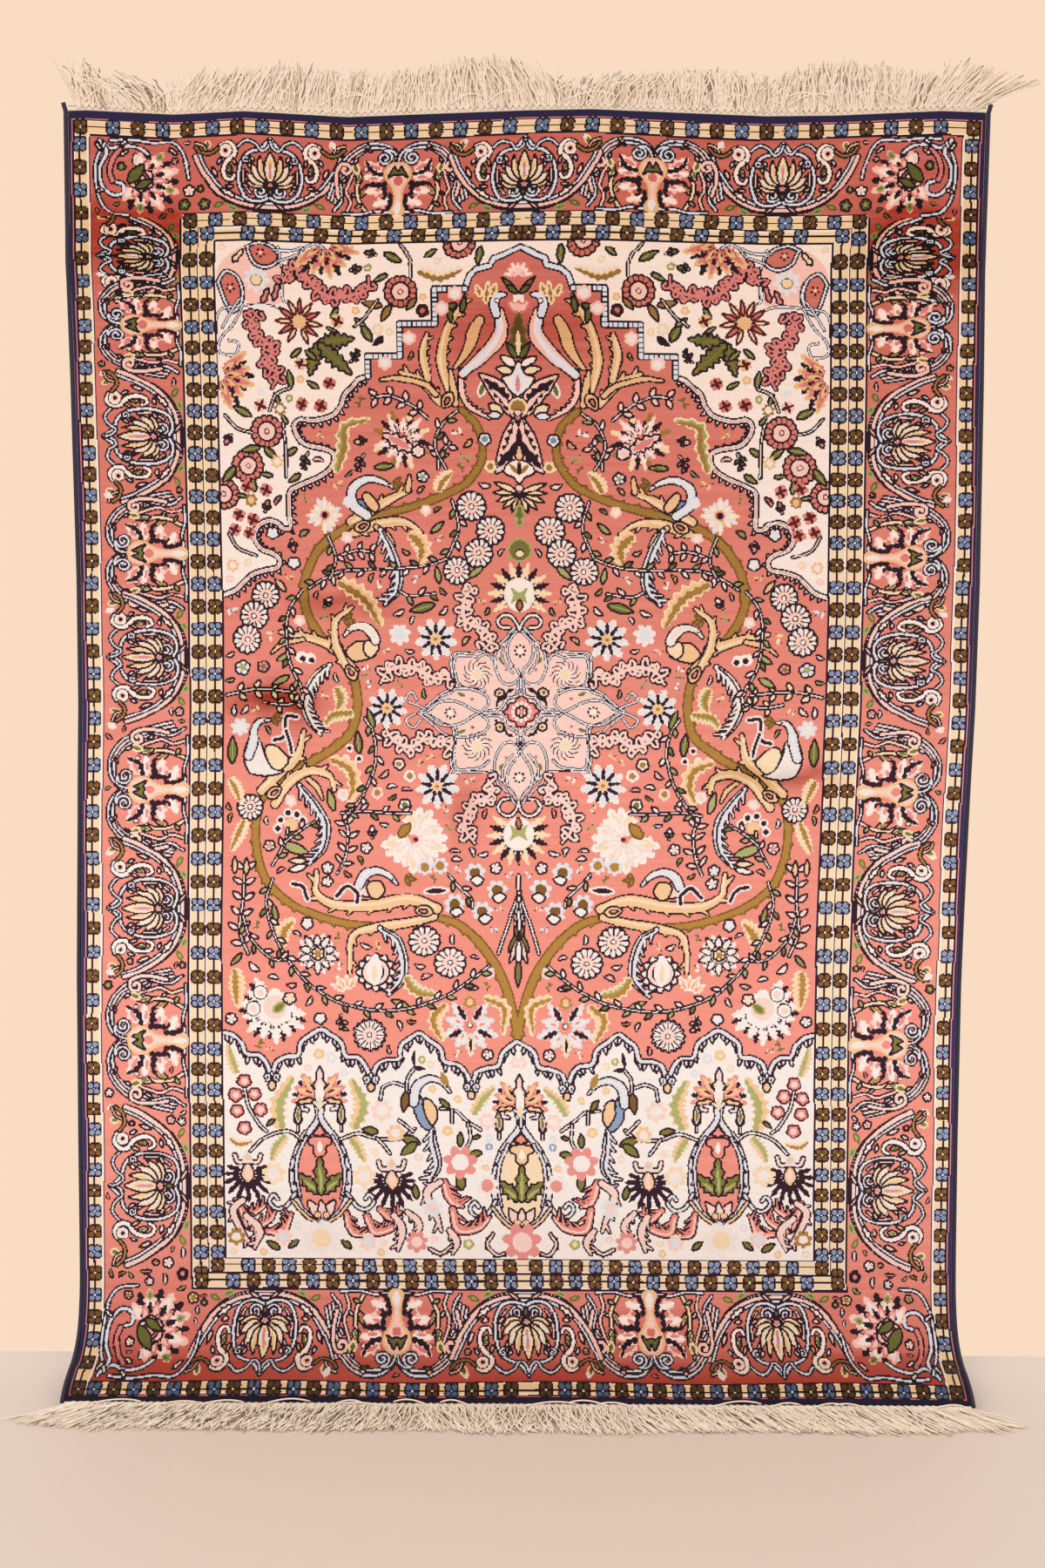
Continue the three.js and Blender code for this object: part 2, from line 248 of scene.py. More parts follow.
def leaf(base, tip, width, colour, place=None, edge=NAVY, bend=0, teeth=0, vein=None):
    """A leaf from its base to its tip, plain or with saw teeth."""
    base = np.asarray(base, dtype=float)
    along = np.asarray(tip, dtype=float) - base
    length = float(np.hypot(*along))
    side = np.array((-along[1], along[0])) / length
    t = np.linspace(0, 1, 9 if teeth == 0 else 2 * teeth + 1)
    half = width / 2 * np.sin(np.pi * np.clip(t, 0.02, 0.98) ** 0.85) ** 0.75
    if teeth:
        half = half * np.where(np.arange(len(t)) % 2 == 1, 1.1, 0.6)
    spine = base + along * t[:, None] + side * (bend * length * 4 * t * (1 - t))[:, None]
    points = np.vstack((spine + side * half[:, None], (spine - side * half[:, None])[::-1]))
    shape(points, colour, place, edge, cornered=teeth > 0)
    if vein is not None:
        lay(curve(on_rug(spine[1:-1], place)), 0.8, vein)


def dot(at, radius, colour, place=None, edge=None):
    """A round spot."""
    centre = on_rug([at], place)
    if edge is not None:
        lay(centre, radius + 1.5, edge)
    lay(centre, radius, colour)


def flower(at, radius, petals, rings, place=None, edge=NAVY, notch=0.16, slits=True, turn=0):
    """A flower from above: rings is a table of share of the radius and colour, the largest first."""
    x, y = at
    for number, (share, colour) in enumerate(rings):
        angle = np.linspace(0, 2 * math.pi, petals * 6, endpoint=False)
        petal = np.abs(np.cos((angle - turn) * petals / 2)) if number == 0 else 1.0
        size = radius * share * (1 - notch + notch * petal)
        points = np.column_stack((x + size * np.sin(angle), y + size * np.cos(angle)))
        shape(points, colour, place, edge if number == 0 or radius * share > 6 else None)
        if number == 0 and slits and edge is not None:
            inner = rings[1][0] if len(rings) > 1 else 0.3
            for petal_number in range(petals):
                split = turn + 2 * math.pi * (petal_number + 0.5) / petals
                ends = [(x + radius * reach * math.sin(split), y + radius * reach * math.cos(split))
                        for reach in (inner, 0.5 * (inner + 1), 0.92)]
                lay(straight(on_rug(ends, place)), 0.75, edge)


def scroll(centre, radius, start, turns, width, colour, place=None, tail=()):
    """A curled end: a spiral in to its centre, with an optional stem that leads to it."""
    count = max(6, int(abs(turns) * 10))
    points = list(tail)
    for step in range(count + 1):
        t = step / count
        angle = math.radians(start) + 2 * math.pi * turns * t
        size = radius * (1 - 0.75 * t)
        points.append((centre[0] + size * math.cos(angle), centre[1] + size * math.sin(angle)))
    line(points, width, colour, place)


def sprig(points, leaf_length, leaf_width, colour, count):
    """A pale stem with pairs of leaves along it."""
    line(points, 1.6, PEARL)
    path = curve(points)
    for number in range(count):
        t = (number + 0.7) / count
        index = min(int(t * (len(path) - 1)), len(path) - 2)
        heading = math.atan2(*(path[index + 1] - path[index])[::-1])
        for side in (-1, 1):
            lean = heading + side * math.radians(55)
            away = np.array((math.cos(lean), math.sin(lean)))
            start = path[index] + 2.2 * away
            leaf(start, start + leaf_length * away, leaf_width, colour)


def petal(base, tip, width, colour, inner, place=None, edge=NAVY, bend=0):
    """A leaf with a smaller leaf of another colour in it."""
    base = np.asarray(base, dtype=float)
    tip = np.asarray(tip, dtype=float)
    leaf(base, tip, width, colour, place, edge, bend)
    leaf(base + (tip - base) * 0.16, base + (tip - base) * 0.84, width * 0.46, inner, place, None,
        bend * 0.9)


def leaves(place, *rows):
    """Plain leaves, each given by its base, its tip, its width and its colour."""
    for row in rows:
        leaf(*row, place)


def bare_leaves(place, *rows):
    """The same without outlines."""
    for row in rows:
        leaf(*row, place, None)


def lying_leaf(x, y, turn, length, width, colour, vein=None):
    """A leaf given by its middle, its turn and its length."""
    leaf((0, -length / 2), (0, length / 2), width, colour, (x, y, turn, 1, 1), vein=vein)


def around(centre, turn, reach):
    """A point at a distance from a centre, turned clockwise from straight up in a motif's frame."""
    angle = math.radians(turn)
    return (centre[0] + reach * math.sin(angle), centre[1] + reach * math.cos(angle))


def ray(centre, turn, near, far, width, colour, place=None, edge=None, teeth=0):
    """A leaf that points away from a centre, from a near to a far distance."""
    leaf(around(centre, turn, near), around(centre, turn, far), width, colour, place, edge, teeth=teeth)


def burst(centre, near, lobes, colour, inner, gaps=NAVY, place=None):
    """Jagged lobes round a centre with dark jagged gaps between: lobes hold a turn, a reach and a width."""
    for (turn, reach, width), (next_turn, _, _) in zip(lobes[:-1], lobes[1:]):
        ray(centre, (turn + next_turn) / 2, near, reach * 0.97, width * 0.95, gaps, place, teeth=5)
    for turn, reach, width in lobes:
        ray(centre, turn, near, reach, width, colour, place, teeth=4)
        ray(centre, turn, near + 3, reach * 0.86, width * 0.5, inner, place)
        ray(centre, turn - 4, near + 4, reach * 0.6, width * 0.2, gaps, place)


def headings(path):
    """The unit directions along a path and to its left."""
    ahead = np.gradient(path, axis=0)
    ahead = ahead / np.hypot(ahead[:, 0], ahead[:, 1])[:, None]
    return ahead, np.column_stack((-ahead[:, 1], ahead[:, 0]))


def frond(points, width, colour, teeth, place=None, edge=NAVY):
    """A long leaf with saw teeth along a curved spine."""
    path = curve(points)
    spine = path[np.linspace(0, len(path) - 1, 2 * teeth + 1).astype(int)]
    aside = headings(spine)[1]
    t = np.linspace(0.03, 0.97, len(spine))
    half = width / 2 * np.sin(np.pi * t ** 0.75) ** 0.6
    half = half * np.where(np.arange(len(t)) % 2 == 1, 1.25, 0.62)
    shape(np.vstack((spine + aside * half[:, None], (spine - aside * half[:, None])[::-1])), colour, place,
        edge, cornered=True)


def halves(place):
    """The places of the two sides of a motif that is the same on both."""
    across, down, turn, wide, tall = place
    return [(across, down, turn, wide * side, tall) for side in (-1, 1)]


# The guards: three cream bands with rosettes in turn blue and brown, between dark and white lines
def rosette(place, blue):
    """A square rosette of four round petals, as wide as the guard."""
    for x in (-3.7, 3.7):
        for y in (-3.7, 3.7):
            dot((x, y), 6.2, NAVY, place)
    for x in (-4.2, 4.2):
        for y in (-4.2, 4.2):
            dot((x, y), 3.4, STEEL if blue else BROWN, place)
    dot((0, 0), 1.5, MIST if blue else GUARD, place)


def box(left, top, right, foot, colour):
    """A plain rectangle."""
    fill(np.array(((left, top), (right, top), (right, foot), (left, foot)), dtype=float), colour)


def rosette_row(down, start, pitch, count):
    """Rosettes across the rug, in turn blue and brown."""
    for number in range(count):
        rosette((start + number * pitch, down, 0, 1, 1), number % 2 == 0)


# The rosettes of the upright guards stand in level rows, a little unevenly spaced.
ROW_NUMBERS = (-1, 0, 2, 8, 18, 26, 34, 40, 48, 54, 56)
ROW_PLACES = (19.5, 42, 102, 282, 565, 808, 1065, 1266, 1495, 1666, 1727)


def rosette_column(across, first, last):
    """Rosettes down the rug, those of the even rows blue."""
    for number in range(first, last + 1):
        rosette((across, np.interp(number, ROW_NUMBERS, ROW_PLACES), 0, 1, 1), number % 2 == 0)


box(-PILE_WIDTH / 2, 0, 0, DESIGN_LENGTH, INDIGO)
box(-599, 9, 0, DESIGN_LENGTH - 8.5, ROSE)
for outer, top, foot in ((597, 11, 1735), (455.5, 129.5, 1600), (432.5, 148.5, 1580)):
    # each band has a dark line, a white one and the cream ground, and the outer one parts the border
    box(-outer - 0.6, top - 0.6, 0, foot + 0.6, NAVY)
    box(-outer + 1.4, top + 1.4, 0, foot - 1.4, IVORY)
    box(-outer + 3, top + 3, 0, foot - 3, GUARD)
    if outer > 590:
        box(-577.5, 27, 0, 1720.5, IVORY)
        box(-576, 28.6, 0, 1719, NAVY)
        box(-573.5, 31, 0, 1717.5, CORAL)
FIELD_SIDE = -407.5
FIELD_TOP = 168
FIELD_FOOT = 1559
box(-411.5, 165, 0, 1562, IVORY)
box(-410, 166.2, 0, 1561, NAVY)
box(FIELD_SIDE, FIELD_TOP, 0, FIELD_FOOT, CORAL)
for level, first, last in ((-587.5, 20, 1726), (-442.5, 140, 1590), (-420, 158, 1569)):
    lay(straight(((level, first), (level, last))), 1.35, NAVY)
for level, first in ((19.5, -587.5), (139.5, -442.5), (157.5, -420), (1727.5, -587.5), (1589, -442.5),
        (1569.5, -420)):
    lay(straight(((first, level), (0, level))), 1, NAVY)
rosette_column(-587.5, -1, 55)
rosette_column(-442.5, 4, 51)
rosette_column(-420, 5, 50)
for down, start, pitch, count in ((19.5, -544.5, 32.7, 17), (1727.5, -567.5, 25.9, 22),
        (139.5, -409, 32.4, 13), (157.5, -366, 32.5, 12), (157.5, -420, 32.5, 1), (1589, -399, 27.2, 15),
        (1569.5, -378.5, 27.7, 14)):
    rosette_row(down, start, pitch, count)
for across, down in ((-442.5, 139.5), (-587.5, 1727.5), (-442.5, 1589), (-420, 1569.5)):
    rosette((across, down, 0, 1, 1), False)


def lotus(place):
    """The lotus of the main border in its pale scroll frame, with a paisley at either side."""
    vine = ((-100, 30), (-90, 6), (-68, -26), (-38, -45), (0, -50), (38, -45), (68, -26), (90, 6),
        (100, 30))
    line([(x, y - 5) for x, y in vine], 2.2, MIST, place)
    line(vine, 6, PINK, place)
    line([(x * 0.96, y + 4.5) for x, y in vine], 2.2, MIST, place)
    for half in halves(place):
        # the frame, open at the top like a lyre
        line(((2, -38), (16, -43), (32, -38), (41, -20), (42, 4), (36, 24), (26, 34), (14, 38), (6, 46),
            (0, 53)), 3, MIST, half)
        line(((50, 26), (44, 40), (32, 50), (20, 46), (12, 36), (4, 40), (0, 50)), 2, MIST, half)
        line(((36, 4), (36, -16), (27, -31)), 1.6, PINK, half)
        scroll((13, -28), 9.5, 200, 1.35, 2, MIST, half, tail=((1, -20),))
        scroll((33, 22), 5, 250, 1, 1.6, MIST, half)
        # the fan of the lotus, outer leaves first
        petal((3, -16), (34, -12), 10, GUARD, PEACH, half, bend=-0.15)
        petal((3, -15), (33, 2), 11, GUARD, PEARL, half, bend=-0.15)
        leaf((18, 4), (31, 15), 7, MIST, half)
        petal((3, -14), (25, 16), 11, GUARD, PEARL, half, bend=-0.12)
        petal((2, -13), (14, 27), 10, GUARD, PEACH, half, bend=-0.1)
        leaves(half, ((22, 18), (27, 27), 5, PEARL), ((28, -22), (38, -16), 5, GUARD))
        # the paisley with its dark eye, its leaf, and the ochre leaf that cups the edge flower
        line(((66, 44), (56, 47), (48, 39), (49, 28), (58, 20), (63, 6), (60, -6), (52, -9), (48, -2)), 5.6,
            IVORY, half, taper=(0.8, 0.55))
        dot((60, 36), 8, IVORY, half, edge=NAVY)
        dot((60, 36), 5, PINK, half)
        dot((60, 36), 2.8, NAVY, half)
        petal((54, 0), (56, 16), 7, GUARD, OLIVE, half)
        leaf((46, 12), (50, 24), 5, PEACH, half)
        petal((84, 54), (84, 40), 10, GUARD, OLIVE, half, edge=None)
        line(((100, 44), (92, 35), (80, 33), (70, 40)), 2.6, OCHRE, half)
        line(((100, 50), (90, 46), (86, 38)), 1.4, GUARD, half)
        leaf((47, -37), (66, -22), 9, IVORY, half, teeth=3)
        leaf((50, -20), (60, -18), 6, PINK, half)
        leaf((44, -56), (56, -50), 6, OLIVE, half, edge=SAGE)
        leaf((74, -50), (62, -44), 6, SAGE, half, edge=OLIVE)
        leaves(half, ((72, -4), (78, 12), 6, PINK), ((70, 16), (66, 26), 5, MIST),
            ((22, -56), (6, -44), 5, PINK))
    petal((0, -14), (0, 34), 16, GUARD, PEARL, place)
    leaf((0, -8), (0, 22), 9, PEACH, place, None)
    for side in (-1, 1):
        leaf((3.5 * side, -4), (3.5 * side, 15), 3, MIST, place, None)
    leaf((0, -8), (0, 18), 4, ROSE, place, None)
    flower((0, -17), 5.5, 5, ((1, PINK), (0.5, ROSE)), place, slits=False)
    leaf((0, -34), (0, -24), 6, OLIVE, place)


def shield(place):
    """The shield palmette between two lotuses: pink and cream lobes parted by dark jagged gaps."""
    for half in halves(place):
        rising = ((94, -34), (88, -6), (78, 20), (64, 40), (44, 52), (22, 52), (8, 44), (0, 34))
        line(rising, 2.4, MIST, half)
        line([(x * 0.9, y - 6) for x, y in rising[:6]], 2.4, MIST, half)
        line([(x * 0.95, y - 3) for x, y in rising[:5]], 2.6, PINK, half)
        scroll((19, 31), 11, 90, 1.5, 2.2, MIST, half, tail=((0, 16), (3, 34), (10, 42)))
        # the curled head that climbs between two flowers
        line(((86, -52), (76, -36), (78, -16), (84, 2)), 2.2, MIST, half)
        line(((68, -52), (64, -36), (70, -20), (66, -4), (62, 8)), 2.6, PINK, half)
        scroll((72, 14), 9.5, 40, 1.1, 4, PINK, half, tail=((80, -30), (84, -10), (84, 8)))
        leaf((64, -30), (56, -22), 6, IVORY, half, teeth=3)
        leaf((76, -8), (70, 2), 6, IVORY, half, teeth=2)
        # an ochre leaf stem and small buds beside the shield
        line(((44, -52), (53, -34), (55, -14), (50, 0)), 3.2, GUARD, half)
        petal((50, -30), (43, -12), 8, PEACH, OCHRE, half)
        petal((56, -8), (52, 12), 8, GUARD, OLIVE, half)
        leaf((56, 8), (60, 24), 8, OLIVE, half, edge=GUARD)
        leaf((58, -46), (48, -40), 6, SAGE, half)
        dot((44, 14), 2.6, PINK, half, edge=NAVY)
        leaf((60, 22), (56, 32), 5, PINK, half)
        line(((74, -56), (50, -57), (28, -52), (12, -54), (0, -46)), 2, MIST, half)
        leaf((92, 56), (86, 44), 9, PEARL, half, None)
        leaf((36, 42), (46, 46), 4, CORAL, half)
        # four pale lobes, each with a dark hook on the side of the flask
        for base, tip, width in (((22, 8), (46, 27), 20), ((20, 0), (48, 3), 18),
                ((17, -17), (44, -22), 21), ((12, -34), (34, -43), 18)):
            leaf(base, tip, width, PINK, half, None, teeth=3)
            leaf(base, tip, width * 0.55, IVORY, half, None, teeth=2)
        for points, width in ((((18, 5), (29, 7), (38, 13), (45, 29)), 8),
                (((15, -8), (26, -11), (36, -9), (46, -12)), 9),
                (((16, -4), (19, -16), (17, -30), (24, -33)), 8),
                (((11, -24), (10, -38), (14, -49), (24, -53)), 8)):
            frond(points, width, NAVY, 4, half, None)
        bare_leaves(half, ((24, 12), (40, 22), 6, ROSE), ((26, -1), (40, 0), 5, ROSE),
            ((22, -17), (32, -20), 6, ROSE))
    # the flask itself, peach with a pink neck and a cream foot
    shape(both(((0, 25), (-12, 22), (-19, 9), (-16, -4), (-9, -15), (-6, -28), (-7, -42), (-11, -52),
        (-6, -59), (0, -60))), PEACH, place, None)
    shape(both(((0, 22), (-10, 19), (-15, 9), (-11, -4), (-5, -15), (-3, -28), (-4, -44), (0, -50))), PINK,
        place, None)
    leaf((0, -38), (0, -58), 10, PEARL, place, None)
    shape(both(((0, 10), (-4, 18), (-8, 12), (-13, 0), (-6, 4), (0, 3))), OLIVE, place)
    dot((0, -5), 6, CORAL, place)


def corner_flower(place):
    """The great corner flower: a jagged palmette in a pale scroll that comes from the corner."""
    for points, width in (
            (((-60, 56), (-44, 44), (-24, 50), (-2, 46), (12, 34), (6, 22), (-8, 24), (-8, 34)), 3.4),
            (((-60, 56), (-50, 38), (-60, 14), (-58, -12), (-44, -28), (-28, -26), (-26, -12), (-36, -8)),
                3.4),
            (((-52, 52), (-64, 28), (-67, 0), (-61, -36), (-46, -56), (-20, -60)), 2.4),
            (((-44, 57), (-12, 59), (18, 56), (44, 57), (58, 44), (66, 22), (70, 0)), 2.4),
            (((-30, 42), (-40, 30), (-46, 10), (-42, -6)), 5)):
        line(points, width, MIST if width < 4.5 else ROSE, place)
    for base, tip in (((-58, 40), (-66, 52)), ((-30, 34), (-18, 42)), ((-54, -20), (-66, -26)),
            ((-20, 58), (-30, 50)), ((40, 48), (52, 38))):
        leaf(base, tip, 7, IVORY, place, teeth=2)
    burst((0, -2), 14,
        ((-2, 42, 20), (38, 54, 22), (74, 58, 24), (110, 60, 24), (146, 58, 24), (182, 54, 22),
            (218, 44, 20)), PINK, IVORY, place=place)
    burst((0, -2), 10,
        ((20, 34, 13), (56, 38, 13), (92, 40, 13), (128, 40, 13), (164, 38, 13), (200, 34, 13)), ROSE, PINK,
        place=place)
    flower((0, -2), 19, 6, ((1, PINK), (0.6, CORAL), (0.35, PINK)), place)
    leaves(place, ((-18, -8), (4, 22), 17, OLIVE), ((-8, -16), (16, -2), 12, OLIVE))
    for turn in (38, 110, 182):
        ray((0, -2), turn, 40, 50, 7, OLIVE, place, SAGE)


# The border: lotus and shield in turn, over the top, over the foot and down the side
BORDER_MIDDLE_SIDE = -514.0
for across, motif, wide in ((-338, lotus, 0.98), (-168, shield, 0.98), (0, lotus, 0.98)):
    motif((across, 80, 0, wide, 0.84))
for across, motif, wide in ((-355, lotus, 1), (-176, shield, 1.02), (0, lotus, 1.03)):
    motif((across, 1658.5, 180, wide, 1))
for down, motif, wide in ((188, lotus, 0.6), (280, shield, 0.74), (430, lotus, 0.86), (585, shield, 0.86),
        (725, lotus, 0.86), (905, shield, 0.98), (1070, lotus, 0.96), (1255, shield, 1.06),
        (1460, lotus, 1.1)):
    motif((BORDER_MIDDLE_SIDE, down, 90, wide, 0.98))
box(-573, 31, -452, 136, CORAL)
corner_flower((-507, 83, 0, 0.9, 0.84))
box(-573, 1586, -456, 1717, CORAL)
corner_flower((-511, 1656, 0, 0.96, -1))

# What lies outside the field is kept, and put back when the field is drawn.
border_chart = chart.copy()


def stroke(points, width, profile):
    """A smooth stroke as its path and its radii: profile holds shares of the width from start to end."""
    path = curve(points)
    along = np.linspace(0, 1, len(path))
    return path, width / 2 * np.interp(along, np.linspace(0, 1, len(profile)), profile)


def joined(strokes, colour, edge=NAVY):
    """Strokes of one colour inside one outline."""
    if edge is not None:
        for path, radius in strokes:
            lay(path, radius + LINE_EDGE, edge)
    for path, radius in strokes:
        lay(path, radius, colour)


def thorned(points, width, colour, thorns, side, reach=0.6, inner=None, edge=NAVY,
        profile=(0.8, 1, 0.8, 0.3)):
    """A long leaf or feather with thorns or barbs along one side."""
    path = curve(points)
    ahead, aside = headings(path)
    strokes = [stroke(points, width, profile)]
    for number in range(thorns):
        index = int((number + 0.6) / thorns * (len(path) - 2))
        root = path[index] + aside[index] * side * width * 0.25
        tip = root + (aside[index] * side * 0.9 + ahead[index] * 0.8) * width * reach
        strokes.append(stroke((root, tip), width * 0.34, (1, 0.7, 0.2)))
    joined(strokes, colour, edge)
    if inner is not None:
        lay(path[4:-8] - aside[4:-8] * side * width * 0.12, width * 0.14, inner)


def looped(hole, size, turn):
    """The looped foot of a split leaf, with the ground showing through it."""
    place = (*hole, turn, size, size)
    shape(((0, -10), (7, -4), (7, 6), (0, 14), (-7, 6), (-7, -4)), PEACH, place)
    shape(((0, -3), (3, 0), (2, 6), (0, 9), (-2, 6), (-3, 0)), CORAL, place)


def cloud(points, width, colour):
    """A cloud ribbon: a thin band with hooked lobes at each step along both sides."""
    spacing = 9.5
    path = curve(points)
    ahead, aside = headings(path)
    strokes = [stroke(points, width * 0.6, (0.5, 1, 1, 0.5))]
    length = np.hypot(*np.diff(path, axis=0).T).sum()
    for number in range(int(length / spacing)):
        index = int((number + 0.5) * spacing / length * (len(path) - 1))
        root = path[index]
        for side in (-1, 1):
            out = aside[index] * side * width * (0.75 + 0.3 * ((number + side) % 3))
            over = ahead[index] * width * (0.75 if (number + side) % 4 < 2 else -0.75)
            hook = (root, root + out * 0.8, root + out * 1.1 + over * 0.7, root + out * 0.5 + over * 1.1)
            strokes.append(stroke(hook, width * 0.36, (1.3, 1, 1, 1.2)))
    joined(strokes, colour)


def saw_leaf(points, width, dark, light, edge=GUARD):
    """A serrated leaf in two colours, the darker along one side of its middle."""
    teeth = 7
    frond(points, width, light, teeth, edge=edge)
    path = curve(points)
    aside = headings(path)[1]
    frond((path + aside * width * 0.14)[::6], width * 0.5, dark, teeth, edge=None)


def fan(first, last, count, reach, width, sway=0.1):
    """Lobes from one turn to another, every second one a little shorter."""
    return [(first + (last - first) * number / (count - 1), reach * (1 - sway * (number % 2)), width)
            for number in range(count)]


def palmette(at, turn):
    """A fan palmette round a pale heart with a small green form on it."""
    place = (*at, turn, 0.98, 0.98)
    burst((0, 4), 14, fan(-125, 125, 8, 45, 11, 0), GUARD, GUARD, place=place)
    shape(((0, 24), (-16, 17), (-20, 0), (-12, -15), (0, -20), (12, -15), (20, 0), (16, 17)), IVORY, place,
        PEARL)
    shape(both(((0, 6), (-12, 12), (-9, 2), (-12, -10), (-3, -6), (0, -12))), SAGE, place, None)
    leaf((0, -20), (0, -4), 8, OCHRE, place, edge=WINE)


def bloom(at, radius):
    """The red rosette flower of the ivory ground."""
    flower(at, radius, 15, ((1, CORAL), (0.55, PINK)), notch=0.08)
    dot(at, 2.4, PINK, edge=NAVY)


def daisy(at, radius, petals=13):
    """The pale open flower of the coral field."""
    flower(at, radius, petals, ((1, PEARL),), notch=0.14, slits=False)
    dot(at, radius * 0.55, PINK)
    for turn in np.arange(petals) * 360 / petals:
        ends = (around((0, 0), turn, radius * 0.45), around((0, 0), turn, radius))
        lay(straight(on_rug(ends, (*at, 0, 1, 1))), 0.95, NAVY)
    dot(at, 2.6, IVORY, edge=NAVY)


def blue_flower(at, size, turn=0):
    """The blue and white flower: blunt jagged petals with dark jags between them."""
    place = (*at, turn, size, size)
    for lobe in range(0, 360, 40):
        ray((0, 0), lobe, 4, 33, 21, PEARL, place, teeth=4)
        ray((0, 0), lobe + 5, 10, 28, 8, MIST, place)
    for gap in range(20, 380, 40):
        ray((0, 0), gap, 6, 26, 7.5, NAVY, place, teeth=2)
    dot((0, 0), 7.5, PEACH, place)
    dot((0, 0), 2.5, OCHRE, place)


def eyes(at, light):
    """A small flower of four dark petals before pale ones, without an outline."""
    size = 0.85
    place = (*at, 20, size, size)
    for turn in (0, 90, 180, 270):
        dot(around((0, 0), turn, 6), 5.2 * size, light, place)
    for turn in (45, 135, 225, 315):
        leaf((0, 0), around((0, 0), turn, 11), 5.5, WINE, place, None)


def soft(at, radius, outer, inner):
    """A small flower without an outline."""
    flower(at, radius, 7, ((1, outer), (0.5, inner)), edge=None, notch=0.3)


def seed_ring(at, size):
    """Eight dark seeds round a pale spot."""
    dot(at, 4.5 * size, IVORY)
    for turn in range(0, 360, 45):
        dot(around(at, turn, 8 * size), 2.1 * size, NAVY)


# The upper ivory ground, its stepped edge and its cusps
ARCH = [(0, 176), (-20, 186), (-34, 191), (-38, 200), (-56, 204), (-66, 212), (-72, 230)]
STEPS = [(-72, 230), (-113, 230), (-113, 277), (-160, 277), (-160, 320), (-205, 320), (-205, 348)]
CUSPS = [(-205, 348), (-218, 352), (-228, 362), (-238, 372), (-244, 388), (-256, 400), (-280, 406),
    (-298, 404), (-306, 412), (-302, 426), (-290, 438), (-262, 444), (-252, 452), (-256, 468), (-272, 480),
    (-300, 492), (-312, 500), (-314, 520), (-313, 546), (-322, 550), (-332, 542), (-346, 540), (-360, 550),
    (-362, 566), (-352, 578), (-340, 582), (-330, 590), (-332, 602), (-350, 606), (-368, 612), (-380, 624),
    (-392, 634), (-409, 640)]
ground = np.vstack((straight(ARCH), straight(STEPS), curve(CUSPS), ((-408.5, 167.5), (0, 167.5))))
fill(ground, IVORY)
cusp_path = curve(CUSPS)
cusp_aside = headings(cusp_path)[1]
for index in range(10, len(cusp_path) - 10, 14):
    root = cusp_path[index]
    leaf(root, root - cusp_aside[index] * 7.5 + (1.5, 2), 5.5, PEARL if index % 3 else PINK)
line(ARCH, 5.5, MIST, cornered=True)
line(CUSPS, 4.6, PEARL)
lay(cusp_path[20:-20], 0.7, ROSE)
line(STEPS, 5.5, MIST, cornered=True)
for start, end in zip(STEPS[:-1], STEPS[1:]):
    ends = np.array((start, end), dtype=float)
    length = np.hypot(*(ends[1] - ends[0]))
    heading = (ends[1] - ends[0]) / length
    aside = np.array((-heading[1], heading[0])) * 2.8
    for tick in np.arange(4.5, length - 2, 6.6):
        middle = ends[0] + heading * tick
        lay(straight((middle - aside, middle + aside)), 0.8, NAVY)

# The corner of that ground: a pink panel in pale double lines with two seed pods
shape(((-404, 205), (-380, 180), (-345, 172), (-320, 190), (-314, 222), (-320, 248), (-352, 252),
    (-376, 244), (-398, 240)), PINK, None, None)
burst((-352, 218), 5, fan(0, 320, 9, 20, 10), MIST, PEARL, PINK)
dot((-352, 220), 6.5, GUARD, edge=OLIVE)
for colour, base, tip in ((ROSE, (-330, 246), (-322, 222)), (ROSE, (-345, 250), (-336, 230)),
        (GUARD, (-384, 196), (-370, 180))):
    leaf(base, tip, 9, colour, teeth=2)
PODS = ((((-404, 222), (-394, 208), (-380, 214), (-372, 234), (-376, 254), (-388, 262), (-396, 246)),
    (-388, 230)),
    (((-366, 176), (-350, 170), (-330, 177), (-322, 192), (-338, 202), (-356, 196)), (-347, 184)))
for outline, seed in PODS:
    shape(outline, CORAL)
    line(outline + outline[:1], 2.4, MIST)
    for turn in range(0, 360, 72):
        dot(around(seed, turn, 5), 1.8, NAVY)
    dot(seed, 2.2, PINK)
CORNER_LINES = (((-410, 300), (-404, 262), (-372, 254), (-340, 252), (-318, 258), (-304, 264)),
    ((-324, 176), (-316, 210), (-318, 240), (-306, 262)),
    ((-372, 254), (-384, 276), (-404, 300), (-404, 316), (-384, 318), (-380, 304), (-392, 300)),
    ((-322, 194), (-300, 186), (-284, 172), (-270, 170), (-258, 182), (-270, 194), (-280, 184)),
    ((-376, 244), (-388, 262), (-400, 282)), ((-330, 180), (-306, 180), (-290, 174)))
for points in CORNER_LINES:
    fine_line(points)
cloud(((-316, 222), (-306, 204), (-288, 206), (-274, 228), (-250, 240), (-222, 236), (-202, 230),
    (-200, 212)), 8, ROSE)
cloud(((-352, 262), (-364, 280), (-350, 296), (-334, 312), (-344, 332), (-328, 344), (-336, 362)), 8, ROSE)
burst((-296, 274), 8, fan(20, 330, 11, 34, 11, 0.2), CORAL, PINK, IVORY)
for turn in range(20, 331, 31):
    ray((-296, 274), turn, 10, 31, 6, CORAL if turn % 2 else GUARD, edge=WINE)
dot((-296, 274), 9, PEACH)
for at, first, last in (((-262, 168), -50, 76), ((-407, 346), 20, 130)):
    burst(at, 14, fan(first, last, 5, 50, 17, 0.12), PEACH, ROSE)
    burst(at, 8, fan(first, last, 4, 34, 14), CORAL, PEACH)
for tip, width in (((-222, 296), 22), ((-284, 346), 20), ((-228, 344), 22)):
    leaf((-272, 302), tip, width, OLIVE, teeth=6, vein=OCHRE)
